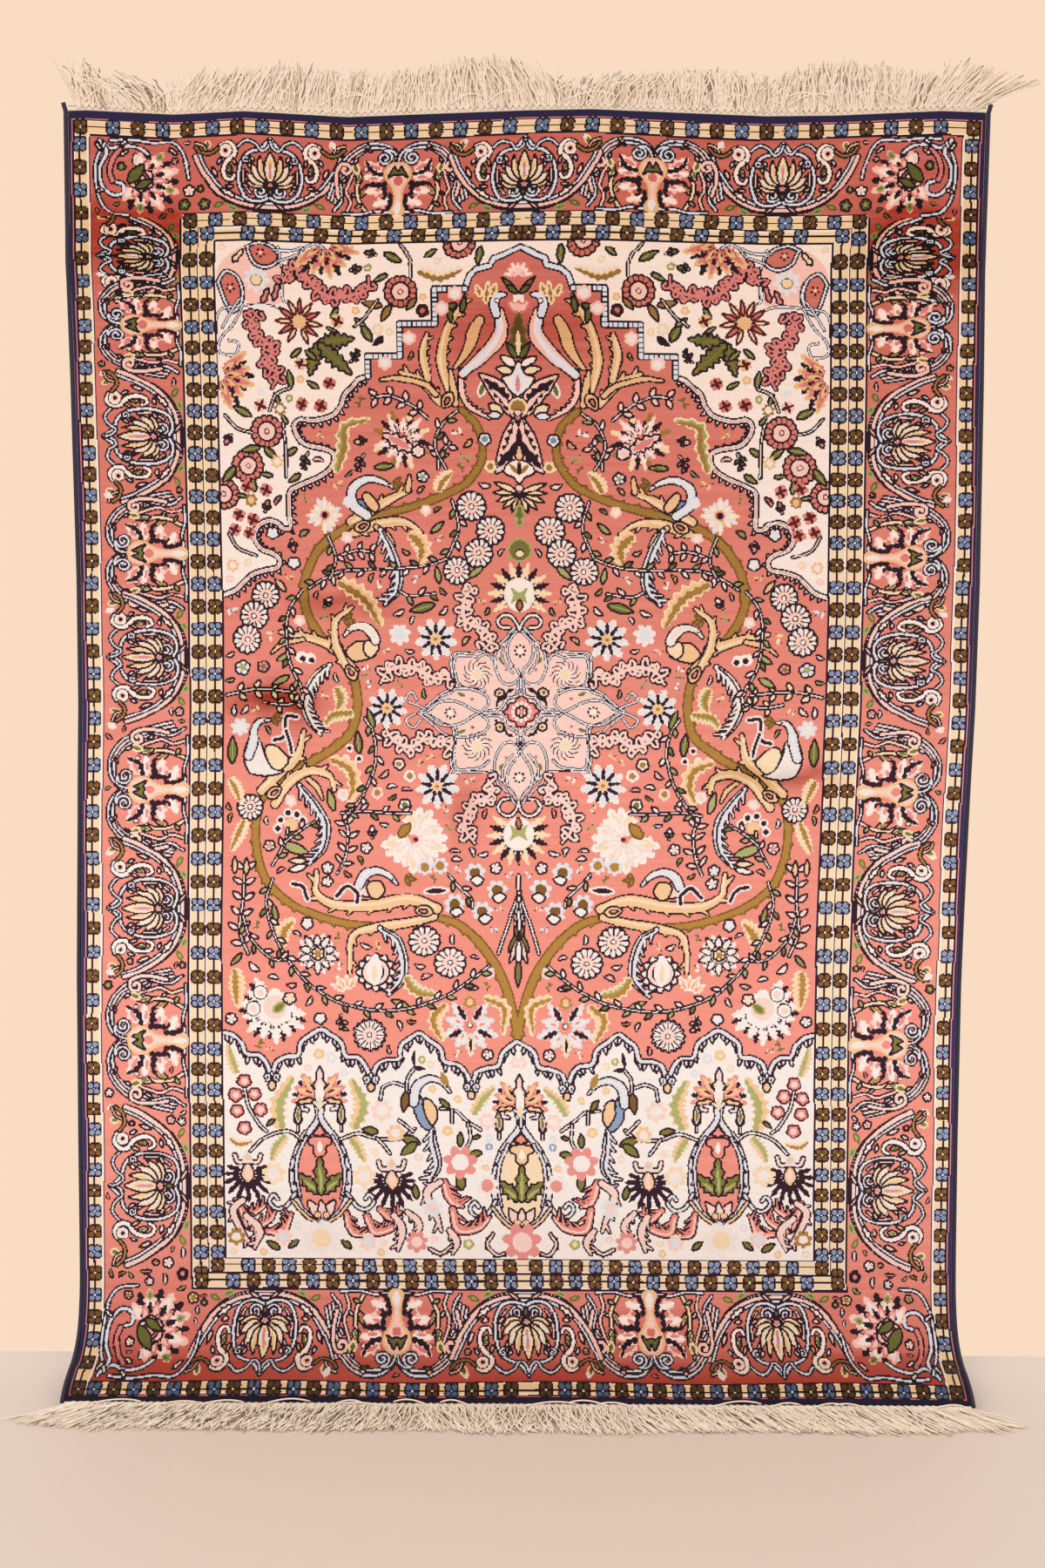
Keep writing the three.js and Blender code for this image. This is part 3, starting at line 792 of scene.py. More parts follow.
for x, y, radius in ((-158, 233, 22), (-82, 168, 22), (-344, 420, 22), (-370, 466, 22), (-404, 504, 21)):
    bloom((x, y), radius)
saw_leaf(((-134, 204), (-106, 214), (-76, 202)), 18, OCHRE, GUARD, edge=PEARL)
UPPER_LEAVES = ((-170, 186, 60, 26), (-184, 214, 120, 20), (-54, 186, 175, 24), (-206, 288, 30, 26),
    (-312, 350, 10, 22), (-376, 394, 60, 26), (-366, 444, 100, 24), (-340, 448, 50, 22),
    (-312, 448, 120, 20), (-306, 482, 120, 20), (-396, 478, 140, 26), (-120, 182, 125, 18),
    (-214, 274, 50, 18), (-248, 262, 140, 16), (-252, 284, 60, 14), (-302, 316, 130, 18),
    (-282, 318, 50, 18), (-280, 358, 60, 18), (-330, 376, 20, 16), (-320, 404, 30, 14), (-362, 492, 10, 18),
    (-344, 478, 80, 16), (-380, 506, 80, 14))
for x, y, turn, length in UPPER_LEAVES:
    lying_leaf(x, y, turn, length, length * 0.42, OLIVE, SAGE)
for x, y, turn, length, colour in ((-196, 250, 80, 26, OCHRE), (-178, 262, 150, 24, OCHRE),
        (-144, 250, 140, 20, OCHRE), (-190, 300, 130, 18, NAVY)):
    lying_leaf(x, y, turn, length, length * 0.42, colour)
for x, y, light in ((-244, 272, PEACH), (-296, 330, PEACH), (-258, 356, CORAL), (-296, 384, CORAL),
        (-270, 386, CORAL), (-352, 386, PINK), (-372, 494, CORAL), (-346, 498, ROSE), (-384, 532, ROSE),
        (-364, 538, CORAL), (-390, 552, ROSE), (-370, 556, CORAL)):
    eyes((x, y), light)
for points in (((-188, 244), (-204, 264), (-222, 280)), ((-160, 170), (-146, 190), (-144, 214)),
        ((-312, 362), (-330, 370), (-340, 392)), ((-400, 400), (-384, 416), (-364, 422)),
        ((-398, 558), (-386, 576), (-362, 586)), ((-322, 410), (-318, 440), (-318, 480))):
    line(points, 1.2, IVORY)
for x, y, outer, inner in ((-190, 284, GUARD, PEARL), (-326, 390, OCHRE, PEARL), (-366, 512, OCHRE, PEACH),
        (-394, 600, PEACH, PEARL), (-330, 460, PEACH, PEARL)):
    soft((x, y), 9, outer, inner)

# The ochre vine of the field and its split leaves
VINE = [(-78, 392), (-58, 410), (-50, 436), (-54, 464), (-74, 490), (-104, 506), (-150, 522), (-205, 536),
    (-245, 553), (-275, 578), (-292, 608), (-298, 640), (-292, 668), (-272, 700), (-246, 722), (-230, 750),
    (-224, 790), (-234, 828), (-262, 852), (-300, 876), (-336, 900), (-358, 922), (-364, 960), (-360, 1000),
    (-346, 1034), (-318, 1060), (-280, 1078), (-236, 1090), (-190, 1094)]
FOOT = [(-116, 1080), (-84, 1090), (-56, 1114), (-32, 1146), (-16, 1180), (-6, 1216), (0, 1250)]
thorned(VINE, 9, OCHRE, 56, 1, 0.55, edge=BROWN, profile=(0.8, 1, 1, 0.8))
thorned(FOOT, 10, OCHRE, 8, 1, 0.5, edge=BROWN, profile=(0.7, 1, 1, 0.8))
ARMS = ((((-94, 366), (-104, 330), (-100, 300), (-92, 276), (-76, 252), (-72, 240)), 12, 7, 1),
    (((-106, 382), (-130, 356), (-160, 342)), 12, 4, 1),
    (((-112, 372), (-130, 358), (-164, 350), (-188, 352)), 7, 0, 1),
    (((-124, 350), (-130, 318), (-124, 290)), 10, 4, 1), (((-86, 384), (-92, 340)), 8, 0, 1),
    (((-230, 540), (-200, 524), (-170, 508), (-150, 500)), 12, 3, -1),
    (((-152, 500), (-150, 480)), 6, 0, 1), (((-226, 556), (-190, 544), (-158, 542), (-134, 556)), 12, 5, 1),
    (((-196, 548), (-180, 560), (-172, 574)), 6, 0, 1),
    (((-228, 742), (-256, 712), (-290, 698), (-330, 690)), 12, 6, 1),
    (((-300, 700), (-326, 706), (-342, 718)), 6, 0, 1),
    (((-238, 740), (-254, 706), (-254, 674), (-232, 656)), 10, 5, -1),
    (((-356, 908), (-330, 882), (-306, 860), (-298, 826)), 13, 4, 1),
    (((-338, 926), (-316, 894), (-288, 880), (-262, 886), (-256, 906)), 13, 5, -1),
    (((-292, 892), (-280, 902), (-272, 918)), 6, 0, 1),
    (((-112, 1068), (-150, 1056), (-200, 1064), (-250, 1064), (-278, 1048), (-280, 1018)), 15, 8, -1),
    (((-116, 1080), (-150, 1088), (-200, 1096), (-228, 1110), (-232, 1160)), 11, 5, -1))
for points, width, thorns, side in ARMS:
    thorned(points, width, PEACH, thorns, side, 0.6, GUARD if width > 9 else None)
for hole, size, turn in (((-96, 378), 1, 150), ((-216, 548), 0.95, -70), ((-232, 746), 1, 30),
        ((-340, 912), 1, -50), ((-128, 1072), 1.05, 80)):
    looped(hole, size, turn)

# The peacocks of the arch and the flowers of the middle line
thorned(((-78, 340), (-78, 366), (-68, 386), (-40, 402)), 6, PINK, 8, -1, 0.8)
joined([stroke(((-26, 262), (-24, 290), (-44, 316), (-76, 344)), 19, (0.6, 1, 0.8, 0.5))], PINK)
lay(curve(((-27, 266), (-27, 292), (-46, 318), (-74, 342))), 4.2, MIST)
lay(curve(((-24, 264), (-24, 290), (-42, 316))), 1.4, IVORY)
joined([stroke(((-18, 238), (-28, 240), (-33, 250), (-30, 264)), 10, (0.3, 0.9, 1, 0.9))], MIST)
dot((-29, 246), 2.6, IVORY, edge=NAVY)
joined([stroke(((-86, 336), (-68, 310), (-60, 286), (-52, 272)), 15, (0.2, 0.6, 1, 0.7))], PEACH)
for base, tip in (((-44, 250), (-40, 222)), ((-50, 240), (-56, 226)), ((-36, 240), (-30, 224))):
    leaf(base, tip, 9, OCHRE, edge=GUARD, teeth=3)
for base, tip in (((-98, 258), (-84, 250)), ((-94, 256), (-90, 276)), ((-76, 262), (-72, 240))):
    leaf(base, tip, 9, OLIVE)
for x, y in ((-86, 236), (-104, 256), (-148, 296), (-182, 330)):
    flower((x, y), 10, 6, ((1, PINK), (0.6, PEARL)), edge=None)
leaf((-52, 374), (-46, 352), 9, OLIVE, edge=PEARL)
burst((0, 214), 2, fan(100, 260, 7, 20, 9), PINK, IVORY, ROSE)
for tip in ((-22, 216), (-16, 226)):
    leaf((-2, 236), tip, 7, OLIVE)
box(-7, 238, 0, 250, IVORY)
shape(both(((0, 262), (-8, 260), (-14, 250), (-10, 246), (-5, 250), (0, 247))), PINK, None, ROSE)
leaf((0, 322), (0, 264), 22, BROWN, teeth=4, edge=OLIVE)
leaf((-2, 322), (-15, 302), 9, OLIVE)
leaf((0, 318), (0, 284), 7, GUARD, edge=None)
leaves(None, ((-4, 332), (-24, 320), 12, IVORY), ((-8, 340), (-30, 336), 11, GUARD))
for base, tip, width, bend in (((-6, 400), (-52, 344), 26, 0.08), ((-5, 404), (-32, 474), 34, -0.12)):
    leaf(base, tip, width, PINK, bend=bend)
    leaf(base, np.asarray(base) * 0.1 + np.asarray(tip) * 0.9, width * 0.72, NAVY, edge=None, teeth=6,
        bend=bend)
    leaf(base, np.asarray(base) * 0.35 + np.asarray(tip) * 0.65, width * 0.26, PINK, edge=None, teeth=3,
        bend=bend)
leaves(None, ((-22, 396), (-40, 384), 14, GUARD), ((-24, 398), (-42, 398), 10, MIST))
shape(both(((0, 372), (-14, 362), (-22, 348), (-10, 342), (0, 326))), PEARL)
bare_leaves(None, ((0, 372), (0, 332), 13, MIST), ((0, 368), (0, 344), 7, ROSE))
dot((0, 384), 12, NAVY)
shape(both(((0, 376), (-9, 380), (-11, 390), (-4, 394), (0, 390))), OCHRE, None, GUARD)
dot((0, 394), 4, PINK, edge=WINE)
leaf((0, 462), (0, 436), 10, PEACH)
shape(both(((0, 456), (-16, 462), (-20, 474), (-8, 480), (0, 488))), IVORY)
for tip in ((-14, 462), (0, 456)):
    leaf((0, 476), tip, 6, OCHRE, edge=None)
lay(straight(((0, 464), (0, 474))), 2.2, NAVY)
for turn in (50, 25, 0, -25, -50):
    leaf((-3, 500), around((-6, 498), turn - 60, 30), 8, GUARD)
dot((0, 494), 4.5, PINK, edge=NAVY)
leaf((0, 516), (0, 546), 13, OLIVE, edge=SAGE, teeth=3)
flower((0, 578), 17, 6, ((1, SAGE), (0.8, OLIVE)), edge=None)
dot((0, 582), 5, GUARD, edge=NAVY)
palmette((0, 640), 0)
palmette((0, 962), 180)

# The medallion, with a drop and two petals towards each side and a flower in each quarter
MEDALLION = (0, 798, 0, 1, 1)
PANEL = ((0, 118), (-18, 102), (-30, 90), (-37, 75), (-52, 83), (-72, 82), (-92, 80), (-95, 58), (-92, 32),
    (-112, 21), (-132, 4), (-112, -12), (-93, -22), (-96, -50), (-92, -79), (-72, -80), (-52, -81),
    (-36, -82), (-24, -94), (-8, -110), (0, -128))
panel_edge = on_rug(curve(PANEL), MEDALLION)
fill(np.vstack((panel_edge, on_rug([(0, 0)], MEDALLION))), PINK)
fine_line(PANEL, MEDALLION)
for points in (((-37, 71), (-46, 80), (-58, 76), (-70, 77), (-88, 76), (-91, 58), (-86, 40), (-78, 34),
        (-64, 32), (-50, 30)),
        ((-88, -22), (-91, -48), (-88, -75), (-70, -77), (-54, -74), (-44, -66)),
        ((-94, 72), (-98, 82), (-108, 90), (-120, 88)), ((-93, -76), (-98, -86), (-106, -90))):
    fine_line(points, MEDALLION)
for turn, wide, tall in ((0, 1, 1), (90, 0.95, 1.16), (180, 1.02, 1.06)):
    for side in (-1, 1):
        place = (0, 798, turn, wide * side, tall)
        fine_line(((0, 30), (0, 46), (5, 58), (14, 70), (18, 84), (15, 98), (6, 108), (0, 118)), place)
        fine_line(((2, 47), (12, 39), (24, 41), (32, 53), (35, 70), (30, 90), (18, 103), (2, 120)), place)
        if turn != 90:
            fine_line(((23, 88), (24, 74), (18, 62), (11, 54)), place)
        dot((20, 58), 2.6, ROSE, place)
        dot((20, 58), 1.1, WINE, place)
        leaf((24, 66), (29, 76), 5, OLIVE, place, None)
        fine_line(((0, 30), (10, 22), (20, 17), (23, 6), (30, 4), (44, 3)), place)
        lay(curve(on_rug(((12, 29), (20, 27), (22, 20), (32, 15), (34, 9)), place)), 1.5, NAVY)
    seed_ring(tuple(on_rug([(0, 84)], (0, 798, turn, wide, tall))[0]), 0.85)
for x, y in ((-60, 52), (-60, -46)):
    for turn in range(0, 360, 30):
        lay(curve(on_rug(
            (around((x, y), turn, 9), around((x, y), turn + 12, 15), around((x, y), turn + 36, 20)),
            MEDALLION)), 0.75, NAVY)
        dot(around((x, y), turn + 20, 9), 2.6, PEARL, MEDALLION)
    dot((x, y), 7, GUARD, MEDALLION)
for x, y in ((-30, 27), (-29, -20)):
    flower((x, y), 6.5, 6, ((1, GUARD), (0.4, BROWN)), MEDALLION, slits=False)
shape(both(((0, 22), (-7, 18), (-9, 14), (-17, 12), (-19, 6), (-25, 1), (-19, -4), (-16, -11), (-8, -13),
    (-6, -18), (0, -20))), ROSE, MEDALLION, WINE)
for turn in range(0, 360, 30):
    dot(around((0, 1), turn, 12), 2.6, PEARL, MEDALLION)
flower((0, 1), 8, 6, ((1, GUARD), (0.45, ROSE)), MEDALLION)
for points in (((0, 112), (-4, 122), (-11, 131), (-21, 133), (-29, 126), (-26, 117), (-14, 115)),
        ((0, -122), (-3, -134), (-11, -141), (-22, -140), (-29, -130), (-24, -120), (-14, -118))):
    line(points, 2.6, PEARL, MEDALLION)
CLOUD_BANDS = (((-96, 752), (-118, 750), (-136, 742), (-150, 736), (-168, 736), (-184, 743), (-193, 758)),
    ((-95, 848), (-108, 838), (-122, 832), (-136, 836), (-148, 844), (-164, 842), (-178, 832), (-186, 816)),
    ((-50, 712), (-40, 700), (-47, 686), (-64, 680), (-76, 670), (-78, 652), (-72, 636), (-60, 628)),
    ((-44, 890), (-36, 904), (-48, 916), (-64, 924), (-74, 940), (-72, 960), (-60, 976)))
for points in CLOUD_BANDS:
    cloud(points, 8.5, PINK)
for x, y, size in ((-116, 698, 0.9), (-113, 898, 0.95), (-184, 792, 0.86)):
    blue_flower((x, y), size, 20)
for points in (((-132, 792), (-146, 786), (-158, 780), (-150, 770), (-142, 780)),
        ((-132, 796), (-146, 800), (-158, 808), (-148, 818), (-138, 808))):
    fine_line(points)

# The stem under the medallion
line(((0, 1022), (0, 1056), (0, 1100)), 2.4, IVORY)
line(((0, 1046), (-14, 1086), (-28, 1130)), 1.8, IVORY)
line(((0, 1050), (-6, 1090), (-4, 1110)), 1.2, IVORY)
leaves(None, ((0, 1104), (-14, 1128), 9, OLIVE), ((0, 1108), (-12, 1144), 8, PINK),
    ((0, 1112), (0, 1150), 9, IVORY), ((0, 1142), (0, 1176), 9, OLIVE), ((-6, 1092), (-2, 1108), 5, OLIVE))

# Birds of the field: a blue one, two white ones, a large pale one and a small one at the foot
def bird(neck, body, wing, tail, shades, barbs, side):
    """A bird: its neck from the beak, its body and wing as outlines, and its long feathered tail."""
    thorned(tail, 10, shades[0], barbs, side, 1.1, NAVY, profile=(0.5, 0.9, 1, 0.8, 0.3))
    shape(body, shades[1])
    shape(wing, shades[2])
    joined([stroke(neck, 10.5, (0.2, 0.6, 0.9, 1.1, 1))], shades[0])
    for spot in curve(neck)[16:-4:7]:
        lay(spot[None], 1.5, IVORY if shades[0] == MIST else GUARD)
    dot(curve(neck)[12], 1.6, NAVY)


bird(((-172, 496), (-186, 488), (-206, 484), (-226, 496), (-226, 518), (-208, 532)),
    ((-226, 516), (-214, 512), (-202, 524), (-208, 534), (-222, 530)),
    ((-214, 506), (-206, 502), (-192, 518), (-196, 528), (-208, 520)),
    ((-190, 552), (-176, 580), (-166, 612), (-170, 634), (-186, 652)), (MIST, STEEL, PEACH), 9, 1)
bird(((-242, 694), (-232, 684), (-216, 682), (-204, 692), (-200, 700)),
    ((-240, 716), (-226, 702), (-206, 704), (-200, 720), (-218, 728), (-232, 728)),
    ((-214, 702), (-200, 700), (-196, 712), (-206, 724), (-216, 716)),
    ((-262, 734), (-284, 754), (-296, 786), (-288, 812), (-274, 830)), (PEARL, PEACH, GUARD), 12, -1)
bird(((-344, 810), (-358, 812), (-366, 824), (-368, 840), (-374, 860)),
    ((-368, 830), (-358, 838), (-352, 858), (-340, 876), (-326, 882), (-348, 888), (-370, 884), (-380, 866),
        (-378, 846)),
    ((-352, 850), (-340, 844), (-324, 856), (-318, 866), (-332, 880), (-346, 870)),
    ((-304, 900), (-284, 924), (-268, 954), (-272, 986), (-290, 1008)), (MIST, PEARL, GUARD), 10, 1)
bird(((-168, 1034), (-180, 1022), (-196, 1016), (-212, 1022), (-220, 1036)),
    ((-226, 1040), (-212, 1030), (-198, 1036), (-196, 1050), (-214, 1052)),
    ((-208, 1034), (-192, 1030), (-184, 1044), (-194, 1056), (-206, 1050)),
    ((-190, 1096), (-168, 1112), (-158, 1142), (-160, 1168), (-180, 1190)), (MIST, PINK, PEACH), 8, 1)
for x, y in ((-172, 490), (-340, 808), (-156, 1026), (-242, 672)):
    for tip in ((10, -8), (14, 2), (6, 10)):
        leaf((x, y), (x + tip[0], y + tip[1]), 5, OCHRE, edge=BROWN)
line(((-250, 1052), (-236, 1038), (-222, 1048), (-222, 1060)), 5, NAVY, edge=PEARL)
line(((-338, 838), (-324, 832), (-322, 806), (-308, 806)), 4.5, NAVY, edge=PEARL)
line(((-322, 826), (-316, 844), (-314, 856)), 4, NAVY, edge=PEARL)
line(((-312, 1036), (-298, 1040), (-290, 1056)), 4.5, NAVY, edge=PEARL)
leaf((-130, 1044), (-96, 1042), 10, NAVY, edge=PEARL)
soft((-386, 820), 13, MIST, PEARL)
soft((-166, 692), 15, PEARL, MIST)

# Flowers of the field
for x, y, radius in ((-66, 520, 20), (-40, 552, 20), (-56, 582, 20), (-86, 606, 19), (-350, 640, 19),
        (-366, 668, 20), (-376, 700, 20), (-372, 930, 18), (-130, 1114, 22), (-94, 1144, 22)):
    daisy((x, y), radius)
daisy((-206, 1246), 23, 16)
burst((-266, 532), 6, fan(0, 315, 8, 26, 10, 0.2), GUARD, IVORY, MIST)
dot((-266, 532), 4, NAVY)
burst((-160, 432), 8, fan(-10, 320, 10, 40, 12, 0.25), PINK, IVORY)
for turn, colour in ((-20, OCHRE), (20, GUARD), (62, OCHRE), (110, GUARD), (-70, GUARD), (-110, OCHRE),
        (160, GUARD), (200, OCHRE)):
    ray((-160, 432), turn, 26, 42, 9, colour, teeth=2)
leaf((-144, 446), (-186, 424), 20, PINK, teeth=4)
leaf((-150, 443), (-178, 428), 9, ROSE, edge=None)
flower((-138, 448), 9, 6, ((1, PEARL), (0.5, PINK)), slits=False)
burst((-276, 1132), 8, fan(0, 324, 10, 31, 14, 0.1), NAVY, PEARL, PEARL)
dot((-276, 1132), 11, PEARL, edge=NAVY)
flower((-276, 1132), 9, 6, ((1, GUARD), (0.5, OCHRE)))
flower((-196, 1158), 27, 12, ((1, PEARL), (0.7, PINK), (0.4, IVORY)), notch=0.2)
bare_leaves(None, ((-198, 1176), (-198, 1132), 22, IVORY), ((-198, 1172), (-198, 1146), 8, GUARD))
burst((-144, 972), 6, fan(-80, 190, 8, 48, 26, 0.12), IVORY, GUARD, IVORY)
burst((-144, 972), 6, fan(-66, 170, 6, 42, 10, 0.12), PINK, PEARL, IVORY)
leaf((-166, 968), (-150, 950), 14, OCHRE, edge=BROWN)
for x, y in ((-108, 1008), (-130, 1010)):
    soft((x, y), 12, MIST, OCHRE)
dot((-142, 972), 3.2, WINE)
for x, y in ((-60, 1018), (-30, 1042), (-88, 1062), (-50, 1072)):
    soft((x, y), 15, MIST, BROWN)
    shape(((x - 6, y + 10), (x + 4, y + 4), (x + 12, y + 10), (x + 2, y + 18)), IVORY)
burst((-66, 1234), 9, fan(-144, 144, 9, 42, 17, 0.15), MIST, PEARL, CORAL)
for turn in (-65, 65, -150, 150):
    ray((-66, 1234), turn, 12, 34, 9, NAVY, teeth=3)
dot((-66, 1232), 8, CORAL)
dot((-66, 1232), 3, PEARL, edge=NAVY)
leaf((-66, 1206), (-66, 1192), 16, PEACH, edge=OCHRE, teeth=2)
leaf((-66, 1246), (-66, 1274), 7, NAVY, edge=GUARD)
burst((-338, 1208), 20, fan(-150, 80, 10, 50, 15, 0.1), IVORY, IVORY)
flower((-336, 1206), 27, 8, ((1, IVORY), (0.6, PINK)), edge=None)
for x, y in ((-356, 1186), (-366, 1208)):
    dot((x, y), 9, IVORY, edge=NAVY)
    dot((x, y), 5, PINK)
leaf((-338, 1212), (-322, 1200), 11, OLIVE, edge=SAGE)
flower((-316, 1194), 9, 5, ((1, PINK), (0.5, GUARD)))
burst((-236, 1186), 4, fan(150, 240, 4, 28, 12), IVORY, PEACH, CORAL)
for x, y in ((-234, 848), (-222, 862), (-240, 862)):
    dot((x, y), 5.5, PEARL)
    dot((x, y), 3, NAVY)
for x, y in ((-330, 948), (-320, 938), (-308, 940), (-300, 948), (-334, 960)):
    dot((x, y), 6.5, PEARL)
    dot((x, y), 3.8, NAVY)
dot((-316, 954), 9, PEACH)
for x, y in ((-290, 726), (-302, 724)):
    dot((x, y), 8, IVORY, edge=None)
    dot((x + 2, y + 2), 4, NAVY)
BLOSSOMS = ((-166, 868, PEARL, OCHRE), (-152, 884, PEARL, OCHRE), (-196, 908, PINK, OCHRE),
    (-158, 924, IVORY, OLIVE), (-244, 912, PEARL, PINK), (-316, 922, PINK, PEARL),
    (-290, 1090, MIST, PEARL), (-232, 514, MIST, PEARL), (-338, 556, PEARL, MIST), (-310, 596, MIST, PEARL),
    (-304, 674, PINK, PEARL), (-46, 430, PEARL, STEEL), (-40, 466, GUARD, OCHRE), (-128, 526, PINK, IVORY),
    (-236, 562, PINK, PEARL), (-40, 1158, PINK, MIST), (-274, 1222, MIST, PEARL))
for x, y, outer, inner in BLOSSOMS:
    flower((x, y), 8.5, 5, ((1, outer), (0.5, inner)), slits=False, edge=NAVY if x % 4 else None)
SPRIGS = ((((-124, 404), (-150, 384), (-176, 374), (-200, 376)), 13, 8, PINK, 4),
    (((-110, 470), (-108, 452), (-94, 436)), 13, 7, PINK, 2),
    (((-250, 588), (-224, 580), (-200, 582)), 12, 7, PINK, 3),
    (((-250, 1020), (-240, 996), (-236, 964), (-240, 948)), 15, 7, PINK, 4),
    (((-372, 1132), (-384, 1100), (-380, 1060), (-378, 1010)), 16, 8, PINK, 6),
    (((-404, 776), (-360, 768), (-310, 772)), 13, 8, GUARD, 4),
    (((-352, 786), (-324, 790), (-302, 784)), 11, 7, GUARD, 2))
for points, leaf_length, width, colour, count in SPRIGS:
    sprig(points, leaf_length, width, colour, count)
SAW_LEAVES = ((((-250, 474), (-240, 440), (-238, 414), (-204, 404)), 15, SAGE),
    (((-150, 556), (-132, 574), (-136, 600)), 20, PEACH),
    (((-250, 620), (-214, 642), (-190, 680)), 20, PEACH),
    (((-252, 764), (-246, 780), (-250, 796)), 15, SAGE),
    (((-230, 800), (-256, 804), (-268, 818)), 14, SAGE),
    (((-260, 862), (-232, 876), (-228, 904), (-236, 922)), 17, PEACH),
    (((-328, 1122), (-324, 1100), (-308, 1084)), 18, PEACH),
    (((-154, 1164), (-140, 1184), (-106, 1190)), 16, SAGE),
    (((-98, 1204), (-116, 1224), (-104, 1254)), 16, PEACH),
    (((-46, 1192), (-18, 1206), (-20, 1244)), 13, PEACH),
    (((-388, 1154), (-388, 1180), (-386, 1206)), 18, PEACH),
    (((-398, 890), (-390, 906), (-384, 922)), 14, GUARD),
    (((-378, 948), (-386, 968), (-396, 990)), 14, GUARD),
    (((-112, 500), (-104, 484), (-92, 474)), 14, GUARD))
for points, width, light in SAW_LEAVES:
    saw_leaf(points, width, OCHRE, light)
FIELD_LEAVES = ((-112, 548, -50, 22, SAGE), (-60, 608, 130, 26, SAGE), (-112, 612, 10, 22, SAGE),
    (-134, 656, 105, 34, OLIVE), (-184, 468, -85, 26, OLIVE), (-330, 626, 40, 22, PEACH),
    (-326, 724, -60, 22, SAGE), (-330, 756, 120, 26, SAGE), (-396, 852, 0, 36, OLIVE),
    (-222, 840, 5, 30, OLIVE), (-206, 806, 20, 26, OLIVE), (-260, 920, 15, 30, SAGE),
    (-312, 986, 70, 42, SAGE), (-336, 1076, 10, 24, OLIVE), (-388, 1140, 140, 22, OLIVE),
    (-164, 1202, 70, 24, SAGE), (-66, 1178, 80, 22, PINK), (-392, 1010, 0, 22, PEACH),
    (-376, 1012, 0, 22, PEACH), (-306, 1004, 90, 24, GUARD), (-306, 1014, 105, 26, IVORY))
for x, y, turn, length, colour in FIELD_LEAVES:
    lying_leaf(x, y, turn, length, max(7, length * 0.36), colour, SAGE if colour == OLIVE else None)
TENDRILS = (((-340, 1030), (-348, 1060), (-340, 1096), (-324, 1130), (-296, 1166), (-260, 1194),
    (-210, 1210), (-160, 1210), (-110, 1196), (-70, 1172), (-40, 1148)),
    ((-380, 1080), (-368, 1112), (-340, 1138), (-320, 1140)),
    ((-100, 470), (-114, 440), (-104, 412), (-84, 394)), ((-92, 512), (-84, 540), (-86, 560), (-100, 590)),
    ((-100, 590), (-130, 600), (-170, 604), (-240, 606), (-270, 618), (-290, 630)),
    ((-300, 632), (-318, 660), (-322, 690), (-318, 730), (-304, 760), (-300, 772)),
    ((-214, 806), (-202, 826), (-198, 856), (-206, 890), (-226, 926), (-246, 938)),
    ((-246, 938), (-220, 934), (-180, 936), (-150, 936)), ((-262, 560), (-252, 590), (-262, 618)),
    ((-164, 634), (-148, 640), (-116, 636)), ((-340, 1010), (-324, 980), (-320, 960)),
    ((-324, 978), (-300, 960), (-284, 950)), ((-98, 1020), (-84, 1036), (-66, 1054), (-64, 1066)))
for points in TENDRILS:
    line(points, 1.4, IVORY)
    path = curve(points)
    ahead, aside = headings(path)
    for number, index in enumerate(range(16, len(path) - 10, 21)):
        away = ahead[index] + aside[index] * 0.85 * (-1) ** number
        leaf(path[index] + away * 2, path[index] + away * 12, 6.5, (SAGE, PINK, OLIVE, IVORY)[number % 4])

# The lower ivory band under its scalloped edge
SCALLOP = [(-409, 1238), (-394, 1242), (-382, 1254), (-376, 1268), (-360, 1270), (-350, 1280), (-342, 1296),
    (-336, 1280), (-322, 1272), (-306, 1270), (-302, 1252), (-290, 1242), (-274, 1234), (-260, 1242),
    (-246, 1254), (-240, 1272), (-224, 1274), (-214, 1284), (-205, 1300), (-196, 1284), (-184, 1278),
    (-166, 1276), (-162, 1258), (-150, 1248), (-137, 1240), (-124, 1250), (-108, 1262), (-102, 1280),
    (-84, 1284), (-74, 1294), (-66, 1310), (-58, 1294), (-44, 1288), (-28, 1284), (-22, 1266), (-10, 1256),
    (0, 1250)]
fill(np.vstack((straight(SCALLOP), ((0, 1559.5), (-408.5, 1559.5)))), IVORY)
scallop_path = curve([(x, y + 5) for x, y in SCALLOP])
for index in range(8, len(scallop_path) - 4, 13):
    at = scallop_path[index]
    leaf(at, at + (2.5 * (-1) ** index, 12), 5.5, MIST)
line([(x, y + 3.5) for x, y in SCALLOP], 4.6, MIST)
for x, y in ((-342, 1298), (-205, 1302), (-66, 1312)):
    line(((x, y), (x, y + 12)), 3, MIST)
    for side in (-1, 1):
        scroll((x + 7 * side, y + 6), 4.5, 90, 0.9 * side, 2.4, MIST)
    shape(both(((0, -4), (-5, 0), (-4, 7), (0, 9))), PEACH, (x, y + 15, 0, 1, -1))


